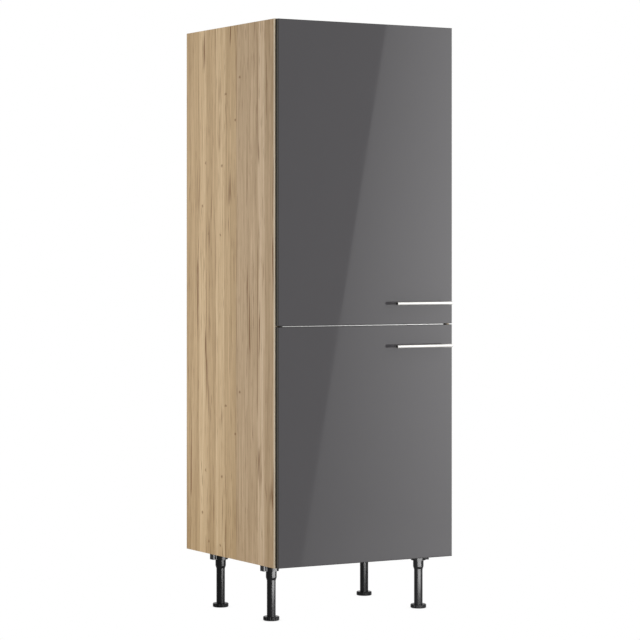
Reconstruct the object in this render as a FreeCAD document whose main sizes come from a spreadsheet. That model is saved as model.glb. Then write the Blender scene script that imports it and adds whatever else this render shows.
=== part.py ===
import FreeCAD, Part
import Sketcher
import math
import os
import re

# Mid-height kitchen cabinet: a board carcass on four levelling legs, with two doors
# on concealed hinges. Millimetres, +Z up, front toward -Y, origin on the floor under
# the middle of the overall box.

# Driving sizes
SIZES = [
    ("carcass_width", 600),
    ("carcass_depth", 559),
    ("carcass_height", 1588),
    ("panel_thickness", 16),
    ("edge_band", 1),
    ("back_thickness", 3),
    ("back_inset", 10),
    ("groove_depth", 8),
    ("back_joint", 1),
    ("fit_clearance", 0.1),
    ("door_thickness", 16),
    ("door_gap", 2),
    ("door_reveal", 1.5),
    ("door_split", 3),
    ("door_edging", 1),
    ("lower_door_height", 695.5),
    ("bumper_radius", 4),
    ("bumper_inset", 30),
    ("shelf_thickness", 16),
    ("shelf_setback", 20),
    ("shelf_clearance", 1),
    ("pin_radius", 2.4),
    ("pin_depth", 9),
    ("pin_reach", 8),
    ("pin_row_inset", 45),
    ("pin_pitch", 32),
    ("cam_radius", 7.5),
    ("cam_depth", 12),
    ("cam_offset", 24),
    ("cam_inset", 60),
    ("cam_slot_half", 4.5),
    ("cam_slot_width", 1.5),
    ("cam_slot_depth", 3),
    ("bolt_radius", 3.5),
    ("bolt_thread_radius", 2.5),
    ("bolt_thread_depth", 10),
    ("dowel_radius", 4),
    ("dowel_half", 10),
    ("dowel_inset", 170),
    ("screw_radius", 1.5),
    ("screw_head_radius", 2.8),
    ("screw_head_height", 1.5),
    ("screw_length", 11),
    ("back_screw_spacing", 220),
    ("back_screw_offset", 4.5),
    ("bracket_leg", 40),
    ("bracket_width", 22),
    ("bracket_sheet", 2),
    ("bracket_hole", 24),
    ("bracket_hole_radius", 3),
    ("bracket_spacing", 420),
    ("handle_length", 193),
    ("handle_radius", 5.2),
    ("handle_bevel", 0.8),
    ("handle_spacing", 160),
    ("handle_standoff", 31),
    ("handle_edge", 62),
    ("handle_end", 19.5),
    ("post_radius", 4.2),
    ("handle_screw_radius", 2),
    ("handle_screw_head", 4),
    ("handle_screw_grip", 12),
    ("hinge_inset", 100),
    ("cup_radius", 17.5),
    ("cup_edge", 5),
    ("cup_depth", 12),
    ("cup_wall", 1),
    ("flange_sheet", 1.2),
    ("flange_half", 30),
    ("flange_screw", 24),
    ("flange_reach", 17),
    ("flange_back", 11),
    ("arm_pivot_u", 38.8),
    ("arm_pivot_v", 5.7),
    ("cup_pivot_u", 12.6),
    ("cup_pivot_v", -4.9),
    ("elbow_u", 23.1),
    ("elbow_v", -7.4),
    ("link_half", 2),
    ("link_width", 8),
    ("link_eye", 2.4),
    ("link_play", 0.5),
    ("fork_depth", 4.7),
    ("hinge_pin_radius", 1.25),
    ("pin_running_fit", 0.05),
    ("arm_boss", 3.1),
    ("arm_width", 14),
    ("arm_sheet", 6),
    ("arm_tail", 60),
    ("arm_bend", 27),
    ("plate_rise", 6),
    ("plate_wing", 24),
    ("plate_wing_rise", 4),
    ("plate_start", 20),
    ("plate_centre", 39),
    ("plate_wing_half", 8),
    ("plate_screw", 16),
    ("plate_screw_radius", 2.5),
    ("plate_screw_depth", 11),
    ("plate_screw_head", 4.2),
    ("plate_screw_rise", 2.2),
    ("leg_height", 165),
    ("leg_side", 45),
    ("leg_front", 101.5),
    ("leg_rear", 139),
    ("housing_radius", 22.5),
    ("housing_height", 20),
    ("lug_reach", 31),
    ("lug_half", 11),
    ("lug_slot", 4),
    ("lug_slot_pitch", 7),
    ("collar_radius", 16),
    ("collar_height", 19),
    ("taper_height", 8),
    ("mouth_rim", 0.5),
    ("tube_radius", 13),
    ("tube_wall", 2),
    ("socket_roof", 4),
    ("tube_headroom", 16),
    ("thread_fit", 0.1),
    ("peg_radius", 5),
    ("peg_height", 10),
    ("foot_radius", 24),
    ("foot_height", 12),
    ("foot_bevel", 2),
    ("foot_spigot", 15),
    ("scallop_radius", 3),
]
SHELF_HOLE_STEPS = (-2, -1, 0, 1, 2)
SCALLOPS = 12
QUARTER_TURN = 90
TURNS = {"x": (FreeCAD.Vector(0, 1, 0), QUARTER_TURN),
         "y": (FreeCAD.Vector(1, 0, 0), -QUARTER_TURN),
         "z": (FreeCAD.Vector(0, 0, 1), 0)}

# Places and lengths worked out from the driving sizes
DERIVED = {
    "overall_depth": "carcass_depth + door_gap + door_thickness + handle_standoff + handle_radius",
    "rear": "overall_depth / 2",
    "front": "rear - carcass_depth",
    "left": "0 - carcass_width / 2",
    "right": "carcass_width / 2",
    "base": "leg_height",
    "crown": "leg_height + carcass_height",
    "inner_left": "left + panel_thickness",
    "inner_right": "right - panel_thickness",
    "inner_width": "carcass_width - 2 * panel_thickness",
    "board_front": "front + edge_band",
    "back_face": "rear - back_inset - back_thickness",
    "board_depth": "back_face - board_front",
    "door_back": "front - door_gap",
    "door_face": "door_back - door_thickness",
    "door_left": "left + door_reveal",
    "door_width": "carcass_width - 2 * door_reveal",
    "lower_bottom": "base + door_reveal",
    "lower_top": "lower_bottom + lower_door_height",
    "upper_bottom": "lower_top + door_split",
    "upper_top": "crown - door_reveal",
    "split": "lower_top + door_split / 2",
    "middle_floor": "split - panel_thickness / 2",
    "middle_roof": "split + panel_thickness / 2",
    "low_room": "middle_floor - base - panel_thickness",
    "high_room": "crown - panel_thickness - middle_roof",
    "shelf_front": "front + shelf_setback",
    "shelf_depth": "back_face - shelf_clearance - shelf_front - edge_band",
    "row_front": "shelf_front + pin_row_inset",
    "row_rear": "back_face - pin_row_inset",
    "handle_middle": "right - door_reveal - handle_end - handle_length / 2",
    "bar_line": "door_face - handle_standoff",
    "side_face": "panel_thickness - door_reveal",
    "arm_foot": "side_face + plate_rise",
    "cup_middle": "cup_edge + cup_radius",
    "bore_radius": "hinge_pin_radius + pin_running_fit",
    "pin_far_side": "cup_middle - cup_pivot_u + hinge_pin_radius",
    "cup_pin_half": "sqrt(cup_radius * cup_radius - pin_far_side * pin_far_side) - fit_clearance",
    "housing_foot": "base - housing_height",
    "collar_foot": "housing_foot - collar_height",
    "socket_mouth": "collar_foot - taper_height",
    "socket_top": "base - socket_roof",
    "tube_top": "socket_top - tube_headroom",
}

doc = FreeCAD.newDocument("KitchenCabinet")
sheet = doc.addObject("Spreadsheet::Sheet", "Dims")
for row, (alias, value) in enumerate(SIZES, start=1):
    sheet.set(f"A{row}", alias.replace("_", " "))
    sheet.set(f"B{row}", str(value))
    sheet.setAlias(f"B{row}", alias)
doc.recompute()
ALIASES = {alias for alias, value in SIZES}
NODES = []


def formula(text):
    """Write the words of the size table and of DERIVED as one sheet formula."""
    def swap(match):
        word = match.group(0)
        if word in DERIVED:
            return "(" + formula(DERIVED[word]) + ")"
        return "Dims." + word if word in ALIASES else word
    return re.sub(r"[a-z][a-z_0-9]*", swap, str(text))


def bind(obj, **sizes):
    for prop, text in sizes.items():
        obj.setExpression(prop, formula(text))


def place(obj, corner):
    for axis, text in zip("xyz", corner):
        obj.setExpression(".Placement.Base." + axis, formula(text))
    return obj


def box(name, corner, size):
    obj = doc.addObject("Part::Box", name)
    bind(obj, Length=size[0], Width=size[1], Height=size[2])
    return place(obj, corner)


def rod(name, start, radius, length, along="z"):
    """A round bar from start, along one axis."""
    obj = doc.addObject("Part::Cylinder", name)
    axis, angle = TURNS[along]
    obj.Placement = FreeCAD.Placement(FreeCAD.Vector(), FreeCAD.Rotation(axis, angle))
    bind(obj, Radius=radius, Height=length)
    return place(obj, start)


def bar(name, start, end, half, bottom, height):
    """A flat bar lying from one plan point to another."""
    run = f"(({end[0]}) - ({start[0]}))"
    rise = f"(({end[1]}) - ({start[1]}))"
    length = f"sqrt({run} * {run} + {rise} * {rise})"
    obj = doc.addObject("Part::Box", name)
    obj.Placement = FreeCAD.Placement(FreeCAD.Vector(), FreeCAD.Rotation(FreeCAD.Vector(0, 0, 1), 1))
    bind(obj, Length=length, Width=f"2 * {half}", Height=height)
    obj.setExpression(".Placement.Rotation.Angle", formula(f"atan2({rise}; {run})"))
    side = f"({half} / {length})"
    return place(obj, (f"{start[0]} + {rise} * {side}", f"{start[1]} - {run} * {side}", bottom))


def sketch(body, name, role, points):
    """A closed outline of straight lines, every corner held by two sizes."""
    plane = [item for item in body.Origin.OriginFeatures if item.Role == role][0]
    drawing = body.newObject("Sketcher::SketchObject", name)
    drawing.AttachmentSupport = [(plane, "")]
    drawing.MapMode = "FlatFace"
    spots = [FreeCAD.Vector(math.cos(i * math.tau / len(points)), math.sin(i * math.tau / len(points)), 0)
             for i in range(len(points))]
    for i, spot in enumerate(spots):
        drawing.addGeometry(Part.LineSegment(spot, spots[(i + 1) % len(spots)]), False)
    for i in range(len(points)):
        drawing.addConstraint(Sketcher.Constraint("Coincident", i, 2, (i + 1) % len(points), 1))
    for i, point in enumerate(points):
        for kind, text in zip(("DistanceX", "DistanceY"), point):
            index = drawing.addConstraint(Sketcher.Constraint(kind, -1, 1, i, 1, 1.0))
            drawing.setExpression(f"Constraints[{index}]", formula(text))
    return drawing


def slab(name, points, bottom, height):
    """An outline in plan, padded upward."""
    body = doc.addObject("PartDesign::Body", name)
    pad = body.newObject("PartDesign::Pad", name + "Pad")
    pad.Profile = sketch(body, name + "Plan", "XY_Plane", points)
    bind(pad, Length=height)
    return place(body, (0, 0, bottom))


def turned(name, points, centre, along="z"):
    """A radius and height outline turned about an axis."""
    body = doc.addObject("PartDesign::Body", name)
    drawing = sketch(body, name + "Profile", "XZ_Plane", points)
    turn = body.newObject("PartDesign::Revolution", name + "Turn")
    turn.Profile = drawing
    turn.ReferenceAxis = (drawing, ["V_Axis"])
    turn.Angle = 360
    axis, angle = TURNS[along]
    body.Placement = FreeCAD.Placement(FreeCAD.Vector(), FreeCAD.Rotation(axis, angle))
    return place(body, centre)


def group(name, pieces):
    obj = doc.addObject("Part::Compound", name)
    obj.Links = pieces
    return obj


def fuse(name, pieces):
    obj = doc.addObject("Part::MultiFuse", name)
    obj.Shapes = pieces
    return obj


def cut(name, base, tools):
    obj = doc.addObject("Part::Cut", name)
    obj.Base = base
    obj.Tool = tools[0] if len(tools) == 1 else group(name + "Tools", tools)
    return obj


def node(label, obj):
    obj.Label = label
    NODES.append(obj)
    return obj


# Where the boards meet: three fixed boards between the sides, two cams and two dowels an end
BOARDS = {"bottom": "base", "middle": "middle_floor", "top": "crown - panel_thickness"}
CAM_ROWS = {"Front": "board_front + cam_inset", "Rear": "back_face - cam_inset"}
DOWEL_ROWS = {"Front": "board_front + dowel_inset", "Rear": "back_face - dowel_inset"}
SHELVES = {"lower": "base + panel_thickness + (low_room - shelf_thickness) / 2",
           "upper_low": "middle_roof + (high_room - 2 * shelf_thickness) / 3",
           "upper_high": "middle_roof + 2 * (high_room - 2 * shelf_thickness) / 3 + shelf_thickness"}
PIN_ROWS = {"Front": "row_front", "Rear": "row_rear"}
DOORS = {"upper": ("upper_bottom", "upper_top", "upper_bottom + handle_edge"),
         "lower": ("lower_bottom", "lower_top", "lower_top - handle_edge")}
HINGES = {"upper": {"Low": "upper_bottom + hinge_inset", "High": "upper_top - hinge_inset"},
          "lower": {"Low": "lower_bottom + hinge_inset", "High": "lower_top - hinge_inset"}}
LEGS = {"front_left": (-1, "front + leg_front"), "front_right": (1, "front + leg_front"),
        "rear_left": (-1, "rear - leg_rear"), "rear_right": (1, "rear - leg_rear")}
BRACKETS = {"Left": "0 - bracket_spacing / 2", "Right": "bracket_spacing / 2"}


def hinge_x(u):
    return f"(door_left + {u})"


def hinge_y(v):
    return f"(door_back + {v})"


def side_panel(side, sign):
    """One side: back-panel groove, shelf-pin rows, cam-bolt, dowel and hinge-plate holes."""
    start = "left" if sign < 0 else "inner_right"
    name = "Side" + side.title()
    board = box(name + "Board", (start, "board_front", "base"),
                ("panel_thickness", "carcass_depth - edge_band", "carcass_height"))

    def hole(tag, y, z, radius, depth):
        x = f"inner_left - {depth}" if sign < 0 else "inner_right"
        return rod(name + tag, (x, y, z), radius, depth, "x")

    groove_x = "inner_left - groove_depth" if sign < 0 else "inner_right"
    tools = [box(name + "Groove", (groove_x, "back_face - fit_clearance", "base"),
                 ("groove_depth", "back_thickness + 2 * fit_clearance", "carcass_height"))]
    for board_name, floor in BOARDS.items():
        height = f"{floor} + panel_thickness / 2"
        for row, y in CAM_ROWS.items():
            tools.append(hole(f"{board_name}Bolt{row}", y, height,
                              "bolt_thread_radius + fit_clearance", "(bolt_thread_depth + fit_clearance)"))
        for row, y in DOWEL_ROWS.items():
            tools.append(hole(f"{board_name}Dowel{row}", y, height,
                              "dowel_radius + fit_clearance", "(dowel_half + fit_clearance)"))
    for shelf, floor in SHELVES.items():
        for row, y in PIN_ROWS.items():
            for step in SHELF_HOLE_STEPS:
                height = f"{floor} - pin_radius + {step} * pin_pitch"
                tools.append(hole(f"{shelf}Pin{row}{step + 3}", y, height,
                                  "pin_radius + fit_clearance", "(pin_depth + fit_clearance)"))
    if sign < 0:
        for door, places in HINGES.items():
            for spot, z in places.items():
                for end in (-1, 1):
                    tools.append(hole(f"{door}Plate{spot}{end + 2}", hinge_y("plate_centre"),
                                      f"{z} + {end} * plate_screw", "plate_screw_radius + fit_clearance",
                                      "(plate_screw_depth + fit_clearance)"))
    return node("side_panel_" + side, cut(name, board, tools))


def fixed_board(board_name, floor):
    """Bottom, middle or top board with its cam, bolt, dowel and screw holes."""
    name = board_name.title() + "Board"
    middle = f"{floor} + panel_thickness / 2"
    board = box(name + "Blank", ("inner_left", "board_front", floor),
                ("inner_width", "board_depth", "panel_thickness"))
    cam_floor = f"{floor} + panel_thickness - cam_depth" if board_name == "top" else floor
    tools = []
    for end, sign in (("Left", -1), ("Right", 1)):
        cam_x = "inner_left + cam_offset" if sign < 0 else "inner_right - cam_offset"
        for row, y in CAM_ROWS.items():
            well = rod(name + "Cam" + end + row, (cam_x, y, cam_floor),
                       "cam_radius + fit_clearance", "cam_depth")
            start = "inner_left" if sign < 0 else "inner_right - cam_offset"
            run = rod(name + "Bolt" + end + row, (start, y, middle), "bolt_radius + fit_clearance",
                      "cam_offset", "x")
            tools.append(fuse(name + "Joint" + end + row, [well, run]))
        for row, y in DOWEL_ROWS.items():
            reach = "(2 * dowel_half + fit_clearance)"
            start = "inner_left" if sign < 0 else f"inner_right - {reach}"
            tools.append(rod(name + "Dowel" + end + row, (start, y, middle), "dowel_radius + fit_clearance",
                             reach, "x"))
    for tag, x, z in back_screws(board_name):
        tools.append(rod(name + tag, (x, "back_face - screw_length", z), "screw_radius + fit_clearance",
                         "screw_length", "y"))
    if board_name == "bottom":
        for leg, (sign, y) in LEGS.items():
            tools.append(rod(name + "Peg" + leg, (f"{sign} * (right - leg_side)", y, floor),
                             "peg_radius + fit_clearance", "peg_height + fit_clearance"))
    if board_name == "top":
        for side, x in BRACKETS.items():
            tools.append(rod(name + "Bracket" + side, (x, "back_face - bracket_hole", floor),
                             "screw_radius + fit_clearance", "screw_length"))
    return node(board_name + "_panel", cut(name, board, tools))


def back_screws(board_name):
    """Tag, x and z of the screws that hold the back panels to one fixed board."""
    middle = f"{BOARDS[board_name]} + panel_thickness / 2"
    rows = {"Row": middle}
    if board_name == "middle":
        rows = {"Low": middle + " - back_screw_offset", "High": middle + " + back_screw_offset"}
    return [(f"Screw{tag}{step + 2}", f"{step} * back_screw_spacing", z)
            for tag, z in rows.items() for step in (-1, 0, 1)]


def back_panel(level):
    """Thin hardboard sheet in the side grooves, screwed to the boards' rear edges."""
    name = "Back" + level.title()
    floor = "base" if level == "lower" else "split + back_joint / 2"
    height = "split - back_joint / 2 - base" if level == "lower" else "crown - split - back_joint / 2"
    board = box(name + "Sheet", ("inner_left - groove_depth + fit_clearance", "back_face", floor),
                ("inner_width + 2 * groove_depth - 2 * fit_clearance", "back_thickness", height))
    held_by = {"lower": [("bottom", "Row"), ("middle", "Low")], "upper": [("middle", "High"), ("top", "Row")]}
    tools = []
    for board_name, row in held_by[level]:
        for tag, x, z in back_screws(board_name):
            if row in tag:
                tools.append(rod(name + board_name + tag, (x, "back_face", z), "screw_radius + fit_clearance",
                                 "back_thickness", "y"))
    if level == "upper":
        for side, x in BRACKETS.items():
            tools.append(rod(name + "Wall" + side, (x, "back_face", "crown - panel_thickness - bracket_hole"),
                             "bracket_hole_radius", "back_thickness", "y"))
    return node("back_panel_" + level, cut(name, board, tools))


def screw(name, start, direction, shank, length, head, rise):
    """A plain screw: shank from start along +axis or -axis, head on the other side."""
    axis, sign = direction
    spots = {"x": 0, "y": 1, "z": 2}
    tail, cap = list(start), list(start)
    tail[spots[axis]] = start[spots[axis]] if sign > 0 else f"{start[spots[axis]]} - ({length})"
    cap[spots[axis]] = f"{start[spots[axis]]} - ({rise})" if sign > 0 else start[spots[axis]]
    return fuse(name, [rod(name + "Shank", tail, shank, length, axis),
                       rod(name + "Head", cap, head, rise, axis)])


def carcass_hardware():
    """Edge bands, cams, bolts, dowels and back screws."""
    strip = ("panel_thickness", "edge_band", "carcass_height")
    uprights = [box("BandSide" + side, (x, "front", "base"), strip)
                for side, x in (("Left", "left"), ("Right", "inner_right"))]
    bands, cams, bolts, dowels, screws = [], [], [], [], []
    for board_name, floor in BOARDS.items():
        middle = f"{floor} + panel_thickness / 2"
        bands.append(box("Band" + board_name.title(), ("inner_left", "front", floor),
                         ("inner_width", "edge_band", "panel_thickness")))
        cam_floor = f"{floor} + panel_thickness - cam_depth" if board_name == "top" else floor
        for end, sign in (("Left", -1), ("Right", 1)):
            cam_x = "inner_left + cam_offset" if sign < 0 else "inner_right - cam_offset"
            for row, y in CAM_ROWS.items():
                tag = board_name.title() + end + row
                cams.append(cam_lock("Cam" + tag, (cam_x, y, cam_floor), board_name == "top"))
                bolts.append(cam_bolt("Bolt" + tag, y, middle, sign))
            for row, y in DOWEL_ROWS.items():
                start = "inner_left - dowel_half" if sign < 0 else "inner_right - 2 * dowel_half"
                dowels.append(rod("Dowel" + board_name.title() + end + row, (start, y, middle),
                                  "dowel_radius", "3 * dowel_half", "x"))
        for tag, x, z in back_screws(board_name):
            screws.append(screw("Back" + board_name + tag, (x, "back_face + back_thickness", z), ("y", -1),
                                "screw_radius", "screw_length + back_thickness - fit_clearance",
                                "screw_head_radius", "screw_head_height"))
    node("side_edge_bands", group("SideBands", uprights))
    node("cross_edge_bands", group("CrossBands", bands))
    node("cam_locks", group("CamLocks", cams))
    node("cam_bolts", group("CamBolts", bolts))
    node("wood_dowels", group("WoodDowels", dowels))
    node("back_panel_screws", group("BackScrews", screws))


def cam_lock(name, corner, from_above):
    """A die-cast cam with a cross slot in its open face."""
    x, y, z = corner
    disc = rod(name + "Disc", corner, "cam_radius", "cam_depth")
    mouth = f"{z} + cam_depth - cam_slot_depth" if from_above else z
    slots = [box(name + "SlotX", (f"{x} - cam_slot_half", f"{y} - cam_slot_width / 2", mouth),
                 ("2 * cam_slot_half", "cam_slot_width", "cam_slot_depth")),
             box(name + "SlotY", (f"{x} - cam_slot_width / 2", f"{y} - cam_slot_half", mouth),
                 ("cam_slot_width", "2 * cam_slot_half", "cam_slot_depth"))]
    return cut(name, disc, [fuse(name + "Cross", slots)])


def cam_bolt(name, y, z, sign):
    """Threaded into the side, its thick shank running in the board up to the cam."""
    reach = "(cam_offset - cam_radius - fit_clearance)"
    thread_x = "inner_left - bolt_thread_depth" if sign < 0 else "inner_right"
    shank_x = "inner_left" if sign < 0 else f"inner_right - {reach}"
    thread = rod(name + "Thread", (thread_x, y, z), "bolt_thread_radius", "bolt_thread_depth", "x")
    shank = rod(name + "Shank", (shank_x, y, z), "bolt_radius", reach, "x")
    return fuse(name, [thread, shank])


def wall_brackets():
    """Steel angles under the top board that take the screws into the wall."""
    angles, screws = [], []
    roof = "crown - panel_thickness"
    for side, x in BRACKETS.items():
        name = "Bracket" + side
        edge = f"{x} - bracket_width / 2"
        flat = box(name + "Flat", (edge, "back_face - bracket_leg", f"{roof} - bracket_sheet"),
                   ("bracket_width", "bracket_leg", "bracket_sheet"))
        drop = box(name + "Drop", (edge, "back_face - bracket_sheet", f"{roof} - bracket_leg"),
                   ("bracket_width", "bracket_sheet", "bracket_leg"))
        up_hole = rod(name + "UpHole", (x, "back_face - bracket_hole", f"{roof} - bracket_sheet"),
                      "screw_radius + fit_clearance", "bracket_sheet")
        wall_hole = rod(name + "WallHole", (x, "back_face - bracket_sheet", f"{roof} - bracket_hole"),
                        "bracket_hole_radius", "bracket_sheet", "y")
        angles.append(cut(name, fuse(name + "Angle", [flat, drop]), [up_hole, wall_hole]))
        screws.append(screw(name + "Screw", (x, "back_face - bracket_hole", f"{roof} - bracket_sheet"),
                            ("z", 1), "screw_radius", "bracket_sheet + screw_length - fit_clearance",
                            "screw_head_radius", "screw_head_height"))
    node("wall_brackets", group("WallBrackets", angles))
    node("wall_bracket_screws", group("WallBracketScrews", screws))


def shelves():
    """Loose shelves, each with a front band and resting on four pins."""
    bands, pins = [], []
    width = "inner_width - 2 * shelf_clearance"
    for shelf, floor in SHELVES.items():
        name = "Shelf" + shelf.title().replace("_", "")
        board = box(name, ("inner_left + shelf_clearance", "shelf_front + edge_band", floor),
                    (width, "shelf_depth", "shelf_thickness"))
        node("shelf_" + shelf, board)
        bands.append(box(name + "Band", ("inner_left + shelf_clearance", "shelf_front", floor),
                         (width, "edge_band", "shelf_thickness")))
        for row, y in PIN_ROWS.items():
            for end, x in (("Left", "inner_left - pin_depth"), ("Right", "inner_right - pin_reach")):
                pins.append(rod(name + "Pin" + row + end, (x, y, f"{floor} - pin_radius"), "pin_radius",
                                "pin_depth + pin_reach", "x"))
    node("shelf_edge_bands", group("ShelfBands", bands))
    node("shelf_pins", group("ShelfPins", pins))


def door(level):
    """Door board with cup wells and screw holes, its edging and two buffers."""
    bottom, top, grip = DOORS[level]
    name = level.title() + "Door"
    inner = f"({top}) - ({bottom}) - 2 * door_edging"
    board = box(name + "Board", ("door_left + door_edging", "door_face", f"{bottom} + door_edging"),
                ("door_width - 2 * door_edging", "door_thickness", inner))
    tools = []
    for spot, z in HINGES[level].items():
        tools.append(rod(name + "Well" + spot, (hinge_x("cup_middle"), "door_back - cup_depth", z),
                         "cup_radius", "cup_depth", "y"))
        for end in (-1, 1):
            tools.append(rod(f"{name}Pilot{spot}{end + 2}",
                             (hinge_x("cup_middle + flange_reach / 2"), "door_back - screw_length",
                              f"{z} + {end} * flange_screw"),
                             "screw_radius + fit_clearance", "screw_length", "y"))
    for end in (-1, 1):
        tools.append(rod(f"{name}Grip{end + 2}",
                         (f"handle_middle + {end} * handle_spacing / 2", "door_face", grip),
                         "handle_screw_radius + fit_clearance", "door_thickness", "y"))
    node(level + "_door_panel", cut(name, board, tools))
    edges = [box(name + "EdgeLow", ("door_left", "door_face", bottom),
                 ("door_width", "door_thickness", "door_edging")),
             box(name + "EdgeHigh", ("door_left", "door_face", f"{top} - door_edging"),
                 ("door_width", "door_thickness", "door_edging")),
             box(name + "EdgeLeft", ("door_left", "door_face", f"{bottom} + door_edging"),
                 ("door_edging", "door_thickness", inner)),
             box(name + "EdgeRight", ("door_left + door_width - door_edging", "door_face",
                                      f"{bottom} + door_edging"), ("door_edging", "door_thickness", inner))]
    node(level + "_door_edging", group(name + "Edging", edges))
    buffers = [rod(name + "Buffer" + spot, ("right - panel_thickness / 2", "door_back", z), "bumper_radius",
                   "door_gap - 2 * fit_clearance", "y")
               for spot, z in (("Low", f"{bottom} + bumper_inset"), ("High", f"{top} - bumper_inset"))]
    node(level + "_door_buffers", group(name + "Buffers", buffers))


def handle(level):
    """Round bar on two posts, screwed through the door."""
    grip = DOORS[level][2]
    name = level.title() + "Handle"
    profile = [(0, 0), ("handle_radius - handle_bevel", 0), ("handle_radius", "handle_bevel"),
               ("handle_radius", "handle_length - handle_bevel"),
               ("handle_radius - handle_bevel", "handle_length"), (0, "handle_length")]
    start = ("handle_middle - handle_length / 2", "bar_line", grip)
    node(level + "_handle_bar", turned(name + "Bar", profile, start, "x"))
    posts, screws = [], []
    for end in (-1, 1):
        x = f"handle_middle + {end} * handle_spacing / 2"
        stem = rod(f"{name}Stem{end + 2}", (x, "bar_line", grip), "post_radius", "handle_standoff", "y")
        around = rod(f"{name}Seat{end + 2}", (f"{x} - 2 * post_radius", "bar_line", grip), "handle_radius",
                     "4 * post_radius", "x")
        thread = rod(f"{name}Thread{end + 2}", (x, "door_face - handle_screw_grip - fit_clearance", grip),
                     "handle_screw_radius + pin_running_fit", "handle_screw_grip + fit_clearance", "y")
        posts.append(cut(f"{name}Post{end + 2}", stem, [around, thread]))
        screws.append(screw(f"{name}Screw{end + 2}", (x, "door_back", grip), ("y", -1), "handle_screw_radius",
                            "door_thickness + handle_screw_grip", "handle_screw_head", "handle_screw_radius"))
    node(level + "_handle_posts", group(name + "Posts", posts))
    node(level + "_handle_screws", group(name + "Screws", screws))


def hinge_cup(name, z):
    """Steel cup with a screw flange, bored for the pin that carries the link."""
    x = hinge_x("cup_middle")
    shell = rod(name + "Shell", (x, "door_back - cup_depth + fit_clearance", z), "cup_radius - fit_clearance",
                "cup_depth - fit_clearance", "y")
    flange = box(name + "Flange", (hinge_x("cup_middle - flange_back"), "door_back", f"{z} - flange_half"),
                 ("flange_back + flange_reach", "flange_sheet", "2 * flange_half"))
    hollow = rod(name + "Hollow", (x, "door_back - cup_depth + fit_clearance + cup_wall", z),
                 "cup_radius - fit_clearance - cup_wall", "cup_depth + flange_sheet", "y")
    bore = rod(name + "Bore", (hinge_x("cup_pivot_u"), hinge_y("cup_pivot_v"), f"{z} - cup_radius"),
               "hinge_pin_radius", "2 * cup_radius")
    holes = [rod(f"{name}Hole{end + 2}", (hinge_x("cup_middle + flange_reach / 2"), "door_back",
                                          f"{z} + {end} * flange_screw"), "screw_radius + fit_clearance",
                 "flange_sheet", "y") for end in (-1, 1)]
    return cut(name, fuse(name + "Blank", [shell, flange]), [fuse(name + "Inside", [hollow, bore])] + holes)


def hinge_link(name, z):
    """Cranked link from the arm's pin to the cup's pin."""
    low = f"{z} - link_width / 2"
    arm_end = (hinge_x("arm_pivot_u"), hinge_y("arm_pivot_v"))
    cup_end = (hinge_x("cup_pivot_u"), hinge_y("cup_pivot_v"))
    elbow = (hinge_x("elbow_u"), hinge_y("elbow_v"))
    pieces = [bar(name + "Long", arm_end, elbow, "link_half", low, "link_width"),
              bar(name + "Short", elbow, cup_end, "link_half", low, "link_width"),
              rod(name + "Elbow", (*elbow, low), "link_half", "link_width"),
              rod(name + "ArmEye", (*arm_end, low), "link_eye", "link_width"),
              rod(name + "CupEye", (*cup_end, low), "link_eye", "link_width")]
    bores = [rod(name + "ArmBore", (*arm_end, low), "bore_radius", "link_width"),
             rod(name + "CupBore", (*cup_end, low), "bore_radius", "link_width")]
    return cut(name, fuse(name + "Blank", pieces), bores)


def hinge_arm(name, z):
    """Arm on the side: a tail on the plate and a forked nose that holds the pin."""
    low = f"{z} - arm_width / 2"
    near, far, neck = "arm_pivot_u - arm_boss", "arm_pivot_u + arm_boss", "arm_pivot_v + 2 * arm_boss"
    plan = [("arm_foot", "arm_tail"), ("arm_foot", "plate_start"), (near, neck), (near, "arm_pivot_v"),
            (far, "arm_pivot_v"), (far, neck), ("arm_foot + arm_sheet", "arm_bend"),
            ("arm_foot + arm_sheet", "arm_tail")]
    outline = [(hinge_x(u), hinge_y(v)) for u, v in plan]
    pin_x, pin_y = hinge_x("arm_pivot_u"), hinge_y("arm_pivot_v")
    body = slab(name + "Plate", outline, low, "arm_width")
    nose = rod(name + "Nose", (pin_x, pin_y, low), "arm_boss", "arm_width")
    fork = box(name + "Fork", (f"{pin_x} - 2 * arm_boss", f"{pin_y} - 2 * arm_boss",
                               f"{z} - link_width / 2 - link_play"),
               ("4 * arm_boss", "2 * arm_boss + fork_depth", "link_width + 2 * link_play"))
    bore = rod(name + "Bore", (pin_x, pin_y, low), "hinge_pin_radius", "arm_width")
    return cut(name, fuse(name + "Blank", [body, nose]), [fuse(name + "Inside", [fork, bore])])


def hinge_plate(name, z):
    """Cross-shaped mounting plate with a raised rail under the arm."""
    foot = hinge_x("side_face")
    rail = box(name + "Rail", (foot, hinge_y("plate_start"), f"{z} - arm_width / 2"),
               ("plate_rise", "arm_tail - plate_start", "arm_width"))
    wing = box(name + "Wing", (foot, hinge_y("plate_centre - plate_wing_half"), f"{z} - plate_wing"),
               ("plate_wing_rise", "2 * plate_wing_half", "2 * plate_wing"))
    holes = [rod(f"{name}Hole{end + 2}", (foot, hinge_y("plate_centre"), f"{z} + {end} * plate_screw"),
                 "plate_screw_radius + fit_clearance", "plate_wing_rise", "x") for end in (-1, 1)]
    return cut(name, fuse(name + "Blank", [rail, wing]), holes)


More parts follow.
